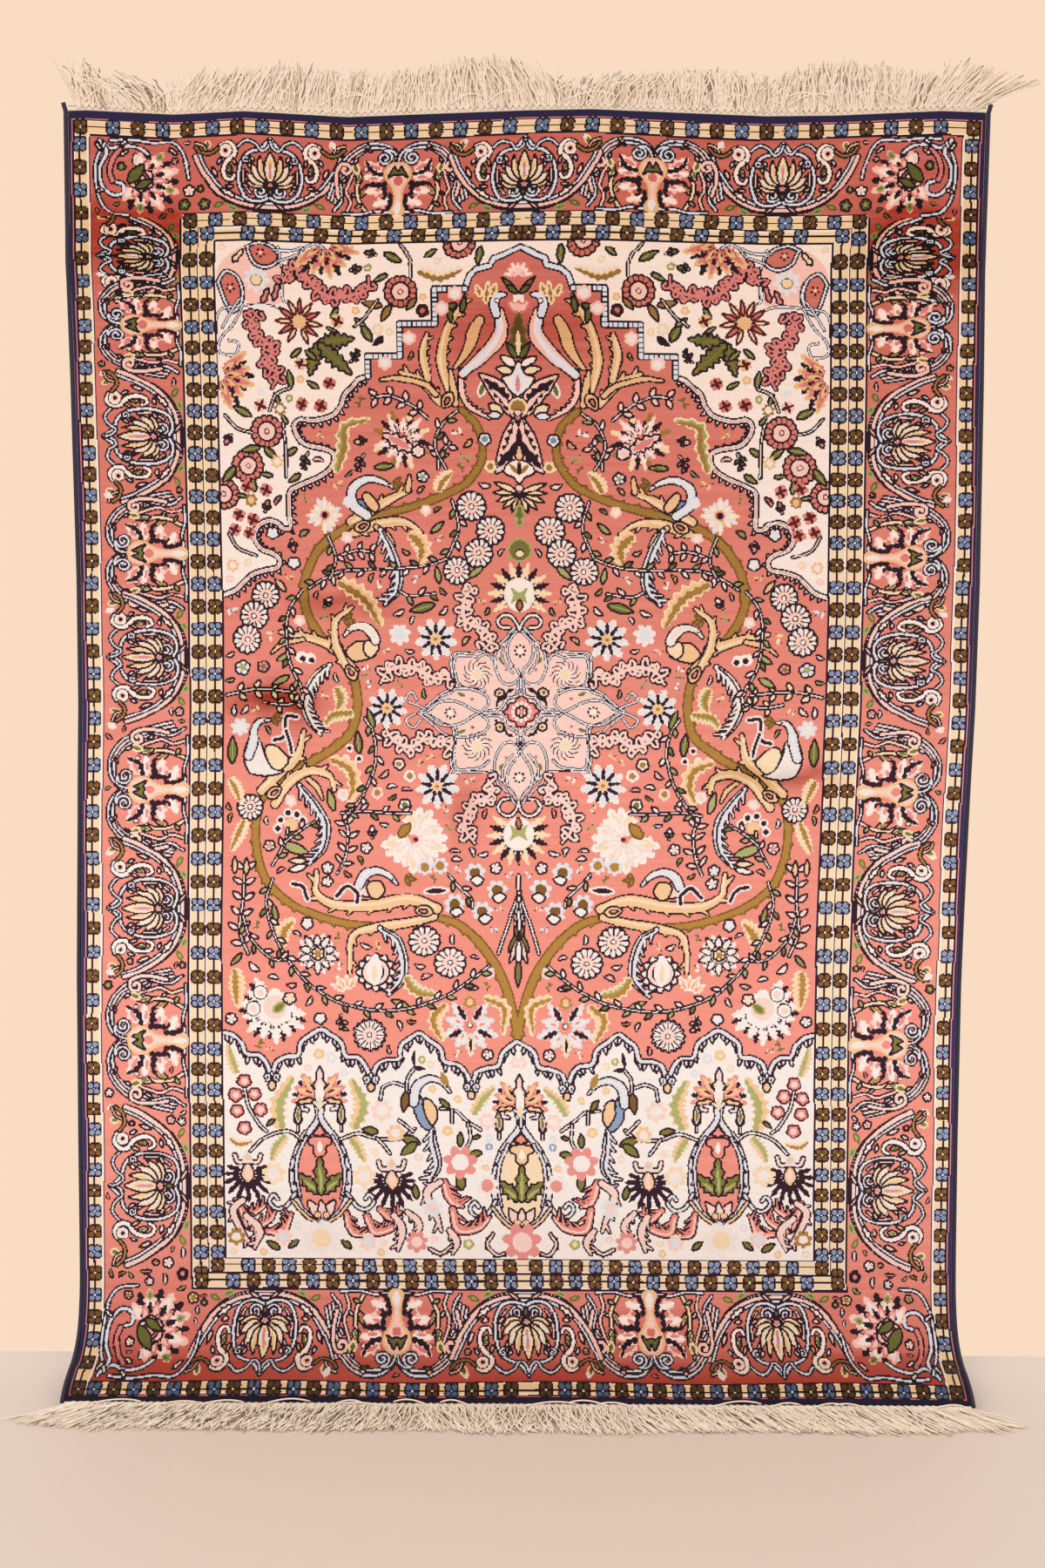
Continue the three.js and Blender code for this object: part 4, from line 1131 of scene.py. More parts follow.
def vase(across, down, ground):
    """The vase panel: a green palm in a pale drop, with a flame crown above it and curled feet."""
    place = (across, down, 0, 1, 1)
    shape(both(((0, 44), (-14, 26), (-28, 6), (-37, -22), (-38, -52), (-30, -80), (-16, -96), (0, -102))),
        ground, place)
    for side in (-1, 1):
        half = (across, down, 0, side, 1)
        line(((3, 62), (2, 44), (14, 26), (28, 6), (37, -22), (38, -52), (30, -80), (16, -96), (2, -100)),
            6, MIST, half)
        thorned(on_rug(((18, 18), (30, -8), (33, -40), (28, -70)), half), 3, MIST, 5, -side, 1.6)
        line(((36, -62), (48, -80), (62, -84), (72, -74), (66, -64), (60, -70)), 3.2, MIST, half)
        line(((2, 62), (10, 68), (22, 66), (24, 58), (17, 56)), 3.4, MIST, half)
        line(((10, -102), (24, -92), (40, -72)), 3, PEACH, half)
        burst((0, 74), 7, ((100, 40, 17), (68, 38, 17), (38, 42, 17)), CORAL, PEACH, place=half)
        leaf((8, 70), (32, 66), 9, PEACH, half, teeth=2)
        line(((30, 26), (30, 42)), 1.6, IVORY, half)
        bare_leaves(half, ((30, 34), (24, 46), 7, NAVY), ((30, 34), (36, 46), 7, NAVY))
        petal((30, 36), (30, 64), 10, PINK, OLIVE, half)
        leaf((2, -62), (30, -34), 20, OLIVE, half, teeth=4)
        leaf((4, -60), (24, -44), 5, SAGE, half, None)
        leaf((10, -4), (24, 4), 8, CORAL if ground == CORAL else GUARD, half, None, teeth=2)
        leaf((0, -100), (18, -72), 15, PINK, half)
    leaf((0, 66), (0, 116), 17, PINK, place, teeth=3)
    bare_leaves(place, ((0, 62), (0, 98), 12, IVORY), ((0, 56), (0, 74), 8, GUARD))
    shape(both(((0, 34), (-5, 28), (-9, 22), (-3, 20), (0, 14))), CORAL, place)
    shape(both(((0, 18), (-14, 16), (-16, 8), (-9, 4), (-8, -6), (0, -12))),
        CORAL if ground == CORAL else PEACH, place)
    leaf((0, -4), (0, 12), 8, IVORY, place, None)
    leaf((0, -64), (0, -10), 20, OLIVE, place, teeth=4)
    leaf((0, -62), (0, -20), 5, SAGE, place, None)
    leaf((0, -98), (0, -72), 12, PINK, place)
    dot((0, -104), 4.5, MIST, place, edge=NAVY)
    for side in (-1, 1):
        dot((6 * side, -92), 4, PEACH, place, edge=NAVY)


vase(-276, 1406, CORAL)
vase(0, 1416, GUARD)
for x, y in ((-376, 1440), (-178, 1450)):
    for turn in range(-110, 111, 22):
        ray((x, y), turn, 10, 34 + 9 * math.cos(math.radians(turn)), 9.5, NAVY, teeth=2)
    place = (x, y, 0, 1, 1)
    petal((0, -14), (0, 16), 18, PEACH, PINK, place)
    for side in (-1, 1):
        line(((3 * side, 16), (14 * side, 16), (18 * side, 26)), 4, PINK, place)
    leaf((0, 16), (0, 30), 12, PEACH, place, edge=MIST)
RED_FEATHERS = ((((-392, 1478), (-384, 1500), (-366, 1494), (-352, 1484)), 12),
    (((-388, 1488), (-374, 1516), (-350, 1508), (-340, 1494)), 14),
    (((-352, 1522), (-330, 1522), (-318, 1496)), 12), (((-242, 1496), (-236, 1522), (-218, 1528)), 12),
    (((-214, 1500), (-204, 1522), (-176, 1514), (-166, 1496)), 14),
    (((-196, 1490), (-180, 1504), (-166, 1494)), 12), (((-106, 1452), (-98, 1478), (-82, 1486)), 15),
    (((-96, 1490), (-88, 1518), (-60, 1516), (-44, 1500)), 15))
for points, width in RED_FEATHERS:
    thorned(points, width * 0.68, CORAL, 6, -1, 1.3, PINK)
PINK_FEATHERS = ((((-384, 1478), (-398, 1492), (-390, 1516), (-374, 1542)), 12),
    (((-380, 1500), (-362, 1520), (-370, 1546)), 13), (((-176, 1500), (-166, 1520), (-172, 1548)), 13),
    (((-158, 1494), (-142, 1512), (-148, 1530)), 11),
    (((-112, 1452), (-130, 1468), (-120, 1496), (-112, 1520)), 14),
    (((-100, 1520), (-90, 1536), (-96, 1552)), 12), (((-128, 1546), (-112, 1552), (-96, 1540)), 4),
    (((-40, 1524), (-48, 1540), (-36, 1554), (-22, 1550)), 4))
for points, width in PINK_FEATHERS:
    thorned(points, width * 0.7, PINK, 4, 1, 0.9)
for points, width in ((((-330, 1378), (-334, 1342), (-314, 1302)), 22),
        (((-230, 1378), (-218, 1344), (-234, 1308)), 22), (((-322, 1386), (-336, 1404), (-342, 1422)), 16),
        (((-234, 1386), (-222, 1404), (-214, 1424)), 16), (((-390, 1300), (-398, 1276), (-402, 1258)), 14),
        (((-66, 1356), (-52, 1334), (-34, 1316)), 16)):
    saw_leaf(points, width, SAGE, PEACH, edge=None)
saw_leaf(((-400, 1390), (-388, 1398), (-368, 1394)), 10, OCHRE, GUARD, edge=None)
for x, y in ((-380, 1310), (-392, 1330), (-366, 1328), (-390, 1352), (-358, 1350), (-380, 1376)):
    flower((x, y), 9.5, 5, ((1, ROSE), (0.45, PINK)), edge=WINE, slits=False)
BAND_STEMS = (((-380, 1320), (-374, 1346), (-360, 1370), (-350, 1380)),
    ((-372, 1408), (-350, 1388), (-320, 1380), (-300, 1392)), ((-304, 1392), (-296, 1380)),
    ((-248, 1392), (-222, 1384), (-196, 1392), (-166, 1392), (-146, 1378)), ((-196, 1392), (-180, 1412)),
    ((-148, 1382), (-166, 1366)), ((-110, 1350), (-90, 1352), (-74, 1366), (-56, 1378)),
    ((-72, 1370), (-70, 1392), (-78, 1408)), ((-94, 1352), (-94, 1368)))
for points in BAND_STEMS:
    line(points, 1.8, IVORY)
for x, y, turn, length in ((-206, 1380, 80, 22), (-152, 1394, 70, 28), (-154, 1406, 130, 28),
        (-84, 1392, 0, 20), (-64, 1412, 100, 20), (-84, 1450, 5, 26), (-146, 1466, 10, 20),
        (-344, 1542, 60, 20), (-316, 1540, 130, 18), (-244, 1540, 50, 18), (-104, 1342, 40, 18),
        (-344, 1368, 130, 14), (-62, 1388, 110, 12)):
    lying_leaf(x, y, turn, length, length * 0.45, OLIVE)
BAND_FLOWERS = ((-84, 1424, 24, ROSE, IVORY), (-48, 1456, 17, PEARL, ROSE), (-190, 1352, 16, PINK, PEARL),
    (-340, 1440, 17, GUARD, PEARL), (-216, 1444, 17, GUARD, PEARL), (-278, 1532, 26, PEARL, GUARD),
    (0, 1536, 28, ROSE, PINK), (-46, 1366, 13, PINK, PEARL), (-330, 1530, 13, PINK, MIST),
    (-146, 1536, 16, ROSE, PINK), (-214, 1536, 13, PINK, MIST), (-394, 1530, 13, OCHRE, PEARL),
    (-124, 1488, 14, MIST, PINK), (-172, 1384, 13, PEACH, PEARL))
for x, y, radius, outer, inner in BAND_FLOWERS:
    soft((x, y), radius, outer, inner)

# The long-tailed bird of the band and the dark twig above it
bird(((-96, 1326), (-108, 1312), (-126, 1308), (-142, 1320), (-146, 1342)),
    ((-146, 1330), (-134, 1336), (-122, 1372), (-130, 1380), (-144, 1360)),
    ((-132, 1336), (-120, 1340), (-114, 1360), (-122, 1372), (-132, 1356)),
    ((-122, 1378), (-120, 1404), (-116, 1430), (-128, 1452)), (MIST, STEEL, PEACH), 6, 1)
leaf((-100, 1318), (-108, 1298), 10, OCHRE, edge=None)
leaf((-156, 1326), (-160, 1354), 12, BROWN)
for base, tip, width in (((-144, 1268), (-146, 1292), 6), ((-148, 1292), (-130, 1294), 7)):
    leaf(base, tip, width, NAVY, edge=None)
line(((-146, 1294), (-154, 1306), (-156, 1324)), 2, MIST)
line(((-192, 1336), (-188, 1320), (-174, 1314), (-160, 1318)), 2, MIST)

# Nothing of the field passes its frame.
outside = np.ones(chart.shape, dtype=bool)
outside[round(FIELD_TOP / KNOT_DOWN):round(FIELD_FOOT / KNOT_DOWN),
    round((PILE_WIDTH / 2 + FIELD_SIDE) / KNOT_ACROSS):] = False
chart[outside] = border_chart[outside]


# The filling: small buds and leaves wherever the ground is bare
def clear(at, radius, ground):
    """Whether the ground is bare all round a place."""
    column = (at[0] + PILE_WIDTH / 2) / KNOT_ACROSS
    row = at[1] / KNOT_DOWN
    reach = radius / KNOT_DOWN
    near = chart[max(0, int(row - reach)):int(row + reach) + 2,
        max(0, int(column - reach)):int(column + reach) + 2]
    return near.size > 0 and bool((near == ground).all())


def bud(at, size, turn, colours):
    """A bud on a short stem with a small leaf at each side of it."""
    place = (*at, turn, size, size)
    line(((0, -9), (1, -3), (0, 2)), 1, IVORY, place)
    leaf((0, -1), (0, 10), 8.5, colours[0], place)
    leaf((-1, -5), (-7, 1), 4.5, colours[1], place)
    leaf((1, -5), (7, 1), 4.5, colours[1], place)


def twig(at, size, turn, colours):
    """A curved stem with four small leaves."""
    place = (*at, turn, size, size)
    line(((-2, -12), (1, -4), (-1, 5), (2, 12)), 1, IVORY, place)
    for base, tip in (((1, -6), (9, -1)), ((-1, -2), (-9, 4)), ((0, 3), (8, 8)), ((1, 9), (-5, 15))):
        leaf(base, tip, 5.5, colours[0], place)


def small_bloom(at, size, turn, colours):
    """A small flower of two colours."""
    flower(at, 9.5 * size, 5, ((1, colours[0]), (0.4, colours[1])), turn=turn)


def soft_patch(at, size, turn, colours):
    """A pale flower without an outline."""
    flower(at, 9.5 * size, 5, ((1, colours[0]), (0.45, colours[1])), edge=None, turn=turn)


def single_leaf(at, size, turn, colours):
    """One bent leaf with a vein."""
    place = (*at, turn, size, size)
    leaf((-1, -8), (1, 8), 7.5, colours[0], place, bend=0.12, vein=colours[1])


def small_sprig(at, size, turn, colours):
    """A short stem with a leaf at either side."""
    place = (*at, turn, size, size)
    lay(curve(on_rug(((0, -8), (1, -2), (-1, 4), (0, 8)), place)), 0.75, NAVY)
    leaf((0, -5), (7, 1), 5, colours[0], place, None)
    leaf((0, 0), (-7, 7), 5, colours[0], place, None)


def infill(left, top, right, foot, ground, sizes, motifs, colours, seed):
    """Puts motifs on bare ground: sizes hold the clear radius, the motif's size and the spacing."""
    chance = np.random.default_rng(seed)
    for radius, size, spacing in sizes:
        for down in np.arange(top, foot, spacing):
            for across in np.arange(left, right, spacing):
                at = (across + chance.uniform(-0.4, 0.4) * spacing,
                    down + chance.uniform(-0.4, 0.4) * spacing)
                turn = chance.uniform(-180, 180)
                motif = motifs[chance.integers(len(motifs))]
                pair = colours[chance.integers(len(colours))]
                if clear(at, radius, ground):
                    motif(at, size, turn, pair)


FIELD_PAIRS = ((PINK, SAGE), (PINK, OLIVE), (PEACH, OLIVE), (IVORY, SAGE), (MIST, SAGE), (PINK, MIST),
    (ROSE, OLIVE))
LEAF_PAIRS = ((PINK, ROSE), (SAGE, OLIVE), (OLIVE, SAGE), (PEACH, OCHRE), (MIST, PEARL), (IVORY, PINK),
    (GUARD, OCHRE))
PALE_PAIRS = ((IVORY, PINK), (MIST, PEARL), (PEARL, PINK), (PINK, ROSE))
UPPER_PAIRS = ((OLIVE, SAGE), (PINK, ROSE), (MIST, PEARL), (PEACH, OCHRE), (CORAL, PINK), (WINE, CORAL),
    (NAVY, PINK))
TWIG_PAIRS = ((OLIVE, SAGE), (OLIVE, WINE), (ROSE, OLIVE), (OCHRE, OLIVE))
SOFT_PAIRS = ((PINK, PEARL), (MIST, PEARL), (GUARD, PEARL), (PEACH, GUARD), (STEEL, MIST), (SAGE, GUARD))
LOWER_PAIRS = ((SAGE, OLIVE), (PINK, ROSE), (MIST, PEARL), (PEACH, GUARD), (PINK, MIST))
BORDER_PAIRS = ((PINK, ROSE), (IVORY, PINK), (MIST, PEARL), (PEACH, OCHRE), (OLIVE, SAGE), (NAVY, CORAL))
SMALL_SIZES = ((9, 0.8, 6), (6.5, 0.62, 4), (5, 0.46, 3.4))
infill(-400, 180, 0, 1300, CORAL, ((15.5, 1.1, 9), (12, 0.85, 7)), (bud, twig, small_bloom), FIELD_PAIRS, 3)
infill(-404, 900, 0, 1300, CORAL, ((13, 1.15, 5), (9, 0.85, 4)), (small_bloom, single_leaf), PALE_PAIRS, 10)
infill(-404, 180, 0, 1300, CORAL, ((8.5, 0.95, 5), (6.8, 0.72, 4)), (small_sprig, single_leaf), LEAF_PAIRS,
    4)
infill(-400, 180, 0, 630, IVORY, ((13.5, 1, 3.5), (11, 0.85, 3), (9, 0.72, 3)), (twig, bud), TWIG_PAIRS, 13)
infill(-400, 170, 0, 640, IVORY, ((10, 0.8, 7), (8, 0.85, 6)), (single_leaf, small_bloom), UPPER_PAIRS, 5)
for top, foot, seed in ((170, 640, 11), (1250, 1556, 12)):
    infill(-404, top, 0, foot, IVORY, ((9, 0.85, 7), (6.5, 0.6, 6)), (soft_patch,), SOFT_PAIRS, seed)
infill(-404, 1250, 0, 1556, IVORY, ((14, 0.95, 8), (9, 0.9, 5)), (single_leaf, small_bloom), LOWER_PAIRS, 6)
for left, top, right, foot, seed in ((-570, 32, 0, 130, 7), (-570, 130, -458, 1600, 8),
        (-570, 1600, 0, 1716, 9)):
    infill(left, top, right, foot, CORAL, SMALL_SIZES, (single_leaf, small_bloom), BORDER_PAIRS, seed)


# The chart is woven with the small shifts of hand work: the two halves differ a little, the middle
# line leans, and the rows open out towards the foot, where the rug is stretched.
CLOTH_DOWN = (0, 1570, 1605, 1635, 1673, 1723, 1781, 1797, 1821)
DESIGN_DOWN = (0, 1568.5, 1600, 1629, 1662, 1694.5, 1719, 1726, 1745)
AXIS_DOWN = (0, 150, 200, 600, 800, 1250, 1560, 1700, 1821)
AXIS_SHIFT = (0, -4, -11, -12, -8, 0, 8, 14, 16)
knot_down = (np.arange(KNOT_ROWS) + 0.5) * PILE_LENGTH * 1000 / KNOT_ROWS
knot_across = (np.arange(KNOT_COLUMNS) + 0.5) * KNOT_ACROSS - PILE_WIDTH / 2
design_down = np.interp(knot_down, CLOTH_DOWN, DESIGN_DOWN)
axis = np.interp(knot_down, AXIS_DOWN, AXIS_SHIFT)
lean = axis[:, None] * (1 - np.abs(knot_across) / (PILE_WIDTH / 2))[None, :]
# slow waves of about one knot in both directions
waver_across = np.sin(knot_down / 47)[:, None] * np.cos(knot_across / 90)[None, :]
waver_down = 1.2 * np.sin(knot_across / 61 + 0.7)[None, :] * np.cos(knot_down / 140)[:, None]
source_column = np.floor((knot_across[None, :] - lean + waver_across + PILE_WIDTH / 2) / KNOT_ACROSS)
source_column = np.clip(source_column, 0, KNOT_COLUMNS - 1).astype(int)
source_row = np.floor((design_down[:, None] + waver_down) / KNOT_DOWN)
source_row = np.clip(source_row, 0, KNOT_ROWS - 1).astype(int)
woven = np.concatenate((chart, chart[:, ::-1]), axis=1)[source_row, source_column]

# Each face of the pile carries three columns of six knots: six colour numbers to a value.
KNOTS_WIDE = 3
KNOTS_TALL = 6
PILE_COLUMNS = KNOT_COLUMNS // KNOTS_WIDE
PILE_ROWS = KNOT_ROWS // KNOTS_TALL
cells = woven.reshape(PILE_ROWS, KNOTS_TALL, PILE_COLUMNS, KNOTS_WIDE)
packed = sum(cells[:, row] * 16 ** row for row in range(KNOTS_TALL))
packed = packed.reshape(-1, KNOTS_WIDE).astype(np.float32)


def linear(red, green, blue):
    """A screen colour as the linear colour that the renderer works in."""
    values = np.array((red, green, blue)) / 255
    low = values / 12.92
    high = ((values + 0.055) / 1.055) ** 2.4
    return (*np.where(values <= 0.04045, low, high).tolist(), 1)


def mesh_piece(name, points, faces):
    """A smooth mesh object from its points and its faces."""
    mesh = bpy.data.meshes.new(name)
    mesh.from_pydata(points.reshape(-1, 3).tolist(), [], faces)
    mesh.polygons.foreach_set("use_smooth", np.ones(len(faces), dtype=bool))
    piece = bpy.data.objects.new(name, mesh)
    scene.collection.objects.link(piece)
    return piece


def grid_piece(name, points):
    """A mesh object from a grid of points, rows down and columns across, its faces to the room."""
    rows, columns = points.shape[:2]
    corner = np.arange(rows * columns).reshape(rows, columns)
    corners = (corner[:-1, :-1], corner[1:, :-1], corner[1:, 1:], corner[:-1, 1:])
    return mesh_piece(name, points, np.stack(corners, axis=-1).reshape(-1, 4).tolist())


def point_values(piece, name, values):
    """Gives each point of a piece a number that its material reads by name."""
    layer = piece.data.attributes.new(name, "FLOAT", "POINT")
    layer.data.foreach_set("value", np.asarray(values, dtype=np.float32).ravel())


def material(name):
    """A new node material: its tree and its Principled shader."""
    made = bpy.data.materials.new(name)
    made.use_nodes = True
    return made, made.node_tree, made.node_tree.nodes["Principled BSDF"]


def node(tree, kind, sockets=(), **settings):
    """A shader node with its settings, and its sockets linked or given values by number."""
    made = tree.nodes.new(kind)
    for name, value in settings.items():
        setattr(made, name, value)
    for number, value in dict(sockets).items():
        if isinstance(value, bpy.types.NodeSocket):
            tree.links.new(value, made.inputs[number])
        else:
            made.inputs[number].default_value = value
    return made


def maths(tree, operation, first, second=0):
    """A sum on two values."""
    return node(tree, "ShaderNodeMath", {0: first, 1: second}, operation=operation).outputs[0]


def choose(tree, factor, first, second):
    """The first value where the factor is 0 and the second where it is 1."""
    return node(tree, "ShaderNodeMix", {0: factor, 2: first, 3: second}, data_type="FLOAT").outputs[0]


def shaded(tree, colour, factor):
    """A colour made darker or lighter by a factor."""
    return node(tree, "ShaderNodeVectorMath", {0: colour, 3: factor}, operation="SCALE").outputs[0]


# The yarns in the order of their colour numbers, each as a lit copy with painted sheen, washed out as
# it looks along the nap, and as a darker copy with painted shade, as it looks against the nap.
YARNS = (((56, 32, 46), (12, 4, 9)), ((253, 230, 196), (222, 184, 134)), ((252, 247, 244), (234, 202, 182)),
    ((248, 158, 143), (162, 50, 30)), ((62, 54, 104), (20, 13, 32)), ((253, 224, 216), (230, 160, 140)),
    ((150, 170, 206), (70, 84, 112)), ((234, 236, 244), (202, 202, 212)), ((138, 98, 48), (74, 46, 16)),
    ((186, 142, 70), (116, 76, 26)), ((134, 132, 64), (66, 64, 20)), ((184, 186, 122), (116, 114, 52)),
    ((250, 210, 164), (206, 150, 92)), ((240, 158, 152), (190, 92, 84)), ((108, 40, 46), (42, 8, 12)),
    ((250, 242, 238), (218, 200, 192)))

# Painted sheen and shade down the rug: painted sheen in the lower middle and painted shade at the toe.
PAINTED_SHADE_DOWN = (0, 140, 300, 500, 700, 900, 1200, 1450, 1580, 1620, 1680, 1730, 1790, 1821)
PAINTED_SHADE_DEPTH = (0.7, 0.66, 0.57, 0.45, 0.3, 0.12, 0, 0.04, 0.22, 0.42, 0.62, 0.92, 1, 1)
# Patches of painted shade where the nap was brushed the other way: across, down, half width, half height,
# depth.
PAINTED_SHADE_PATCHES = ((-520, 165, 75, 42, 0.6), (520, 170, 80, 48, 0.6), (-250, 650, 70, 14, 0.4),
    (-345, 782, 70, 17, 0.6), (-330, 800, 40, 40, 0.3), (345, 885, 90, 14, 0.6), (-80, 930, 20, 45, 0.35),
    (0, 285, 140, 40, 0.25), (-300, 1500, 150, 30, 0.05))


def knot_number(tree, place, count):
    """Which of a face's knots a place from 0 to 1 across it lies in."""
    steps = maths(tree, "FLOOR", maths(tree, "MULTIPLY", place, count))
    return maths(tree, "MINIMUM", steps, count - 1)


def pile_colour(tree):
    """Each point's knot colours, from its number: painted sheen along the nap, painted shade against it."""
    place = node(tree, "ShaderNodeUVMap", uv_map="knots").outputs[0]
    parts = node(tree, "ShaderNodeSeparateXYZ", {0: place})
    column = knot_number(tree, parts.outputs[0], KNOTS_WIDE)
    row = knot_number(tree, parts.outputs[1], KNOTS_TALL)
    chart_values = node(tree, "ShaderNodeAttribute", attribute_name="chart").outputs["Vector"]
    columns = node(tree, "ShaderNodeSeparateXYZ", {0: chart_values}).outputs
    first_two = choose(tree, maths(tree, "GREATER_THAN", column, 0.5), columns[0], columns[1])
    value = choose(tree, maths(tree, "GREATER_THAN", column, 1.5), first_two, columns[2])
    power = maths(tree, "ROUND", maths(tree, "POWER", 16, row))
    number = maths(tree, "MODULO", maths(tree, "FLOOR", maths(tree, "DIVIDE", value, power)), 16)
    share = maths(tree, "DIVIDE", maths(tree, "ADD", number, 0.5), float(len(YARNS)))
    sides = []
    for side in (0, 1):
        ramp = node(tree, "ShaderNodeValToRGB", {0: share})
        ramp.color_ramp.interpolation = "CONSTANT"
        stops = ramp.color_ramp.elements
        while len(stops) < len(YARNS):
            stops.new(1)
        for index, yarn in enumerate(YARNS):
            stops[index].position = index / len(YARNS)
            stops[index].color = linear(*yarn[side])
        sides.append(ramp.outputs[0])
    return sides


# How fine and how strong the change from knot to knot is, and how strong the bands of dye are.
SPECKLE_SCALE = 620
SPECKLE_DEPTH = 0.34
SPECKLE_FLOOR = 0.83
DYE_DEPTH = 0.35


def silk_look(name, roughness, sheen, painted_shine=1):
    """The look of one side of the knots, each a little lighter or darker, in the uneven dye of hand-spun
    silk, mixed from painted sheen and shade: the last argument is the share of the painted shine that
    shows."""
    made, tree, shader = material(name)
    painted_sheen_colour, painted_shade_colour = pile_colour(tree)
    place = node(tree, "ShaderNodeTexCoord").outputs["Object"]
    speckle = node(tree, "ShaderNodeTexNoise", {0: place, 2: SPECKLE_SCALE, 3: 2.0}).outputs[0]
    bands = node(tree, "ShaderNodeMapping", {0: place, 3: (1.2, 1.2, 60)}).outputs[0]
    dye = node(tree, "ShaderNodeTexNoise", {0: bands, 2: 2, 3: 2.0}).outputs[0]
    # Painted sheen and painted shade from the points, moved a little by the bands of dye.
    painted_shade_mix = node(tree, "ShaderNodeAttribute", attribute_name="painted_shade_mix").outputs["Fac"]
    painted_shade_mix = maths(tree, "ADD", painted_shade_mix, maths(tree, "MULTIPLY", maths(tree, "SUBTRACT", dye, 0.5), DYE_DEPTH))
    colour = node(tree, "ShaderNodeMix", {0: painted_shade_mix, 6: painted_sheen_colour, 7: painted_shade_colour},
        data_type="RGBA").outputs[2]
    # Each knot's random tone, on a floor that the painted shine scales.
    light = maths(tree, "ADD", maths(tree, "MULTIPLY", speckle, SPECKLE_DEPTH), SPECKLE_FLOOR * painted_shine)
    tree.links.new(shaded(tree, colour, light), shader.inputs["Base Color"])
    shader.inputs["Roughness"].default_value = roughness
    shader.inputs["Specular IOR Level"].default_value = 0.1
    shader.inputs["Sheen Weight"].default_value = sheen
    shader.inputs["Sheen Roughness"].default_value = 0.5
    bump = node(tree, "ShaderNodeBump", {"Strength": 0.5, "Distance": 0.0012, "Height": speckle})
    tree.links.new(bump.outputs[0], shader.inputs["Normal"])
    return made


def chart_faces(piece, values, corners):
    """Gives a grid piece its knot colours and a UV map over each face, from its corners in turn."""
    mesh = piece.data
    mesh.attributes.new("chart", "FLOAT_VECTOR", "FACE").data.foreach_set("vector", values.ravel())
    uv = mesh.uv_layers.new(name="knots")
    uv.data.foreach_set("uv", np.tile(np.array(corners, dtype=np.float32).ravel(), len(mesh.polygons)))


def painted_shade_at(across, down):
    """How far a place on the pile is painted from sheen, at 0, to shade, at 1."""
    depth = np.interp(down * 1000, PAINTED_SHADE_DOWN, PAINTED_SHADE_DEPTH)
    for middle, level, wide, tall, dark in PAINTED_SHADE_PATCHES:
        wavy_level = level + 5 * np.sin(across * 1000 / 17) + 3 * np.sin(across * 1000 / 7.3)
        aside = (across * 1000 - middle) / wide
        below = (down * 1000 - wavy_level) / tall
        depth = depth + dark * np.exp(-aside ** 4 - below ** 2)
    return np.clip(depth, 0, 1)


across_steps = np.linspace(-CLOTH_HALF, CLOTH_HALF, PILE_COLUMNS + 1)
down_steps = np.linspace(0, PILE_LENGTH, PILE_ROWS + 1)
across_grid, down_grid = np.meshgrid(across_steps, down_steps)
pile_points = cloth_point(across_grid, down_grid, CLOTH_THICKNESS / 2)
pile = grid_piece("silk_pile", pile_points)
chart_faces(pile, packed, ((0, 0), (0, 1), (1, 1), (1, 0)))
# Painted sheen and painted shade over the pile.
point_values(pile, "painted_shade_mix", painted_shade_at(across_grid, down_grid))
pile.data.materials.append(silk_look("silk pile", 0.6, 0.06))
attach(pile, "root")
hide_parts("cloth")

# The back
# The flat backs of the same knots on cotton warps, so the design shows there too, harder and duller.
# Its edges are turned up to meet the pile.
EDGE_REACH = 0.0002
# The back's fixed mix between painted sheen and painted shade.
BACK_PAINTED_SHADE = 0.45
back_across = np.concatenate((across_steps[:1], across_steps, across_steps[-1:]))
back_down = np.concatenate((down_steps[:1], down_steps, down_steps[-1:]))
across_grid, down_grid = np.meshgrid(back_across[::-1], back_down)
rim = np.ones(across_grid.shape)
rim[1:-1, 1:-1] = -1
back_points = cloth_point(across_grid, down_grid, rim * CLOTH_THICKNESS / 2 - (rim > 0) * EDGE_REACH)
back = grid_piece("rug_back", back_points)
back_values = packed.reshape(PILE_ROWS, PILE_COLUMNS, KNOTS_WIDE)
back_values = np.pad(back_values, ((1, 1), (1, 1), (0, 0)), mode="edge")
chart_faces(back, back_values[:, ::-1], ((1, 0), (1, 1), (0, 1), (0, 0)))
point_values(back, "painted_shade_mix", np.full(across_grid.size, BACK_PAINTED_SHADE))
# Less painted shine than the pile, so the back's colours are painted a little darker.
back.data.materials.append(silk_look("rug back", 0.85, 0, 0.9))
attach(back, "root")
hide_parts("cloth")


def tubes(name, paths, radii, sides):
    """One mesh of round strands: paths holds strands of equal numbers of points, radii their sizes."""
    ahead = np.gradient(paths, axis=1)
    ahead /= np.linalg.norm(ahead, axis=2, keepdims=True) + 1e-12
    helper = np.where(np.abs(ahead[..., 1:2]) < 0.8, (0, 1, 0), (1, 0, 0))
    first = np.cross(ahead, helper)
    first /= np.linalg.norm(first, axis=2, keepdims=True)
    second = np.cross(ahead, first)
    angle = np.arange(sides) / sides * 2 * math.pi
    ring = (first[:, :, None, :] * np.cos(angle)[None, None, :, None]
            + second[:, :, None, :] * np.sin(angle)[None, None, :, None])
    points = paths[:, :, None, :] + ring * radii[:, :, None, None]
    strands, length = paths.shape[:2]
    index = np.arange(strands * length * sides).reshape(strands, length, sides)
    here, there = index[:, :-1], index[:, 1:]
    quads = np.stack((here, np.roll(here, -1, 2), np.roll(there, -1, 2), there), axis=-1).reshape(-1, 4)
    faces = quads.tolist()
    faces += index[:, 0, ::-1].tolist()
    faces += index[:, -1].tolist()
    return mesh_piece(name, points, faces)


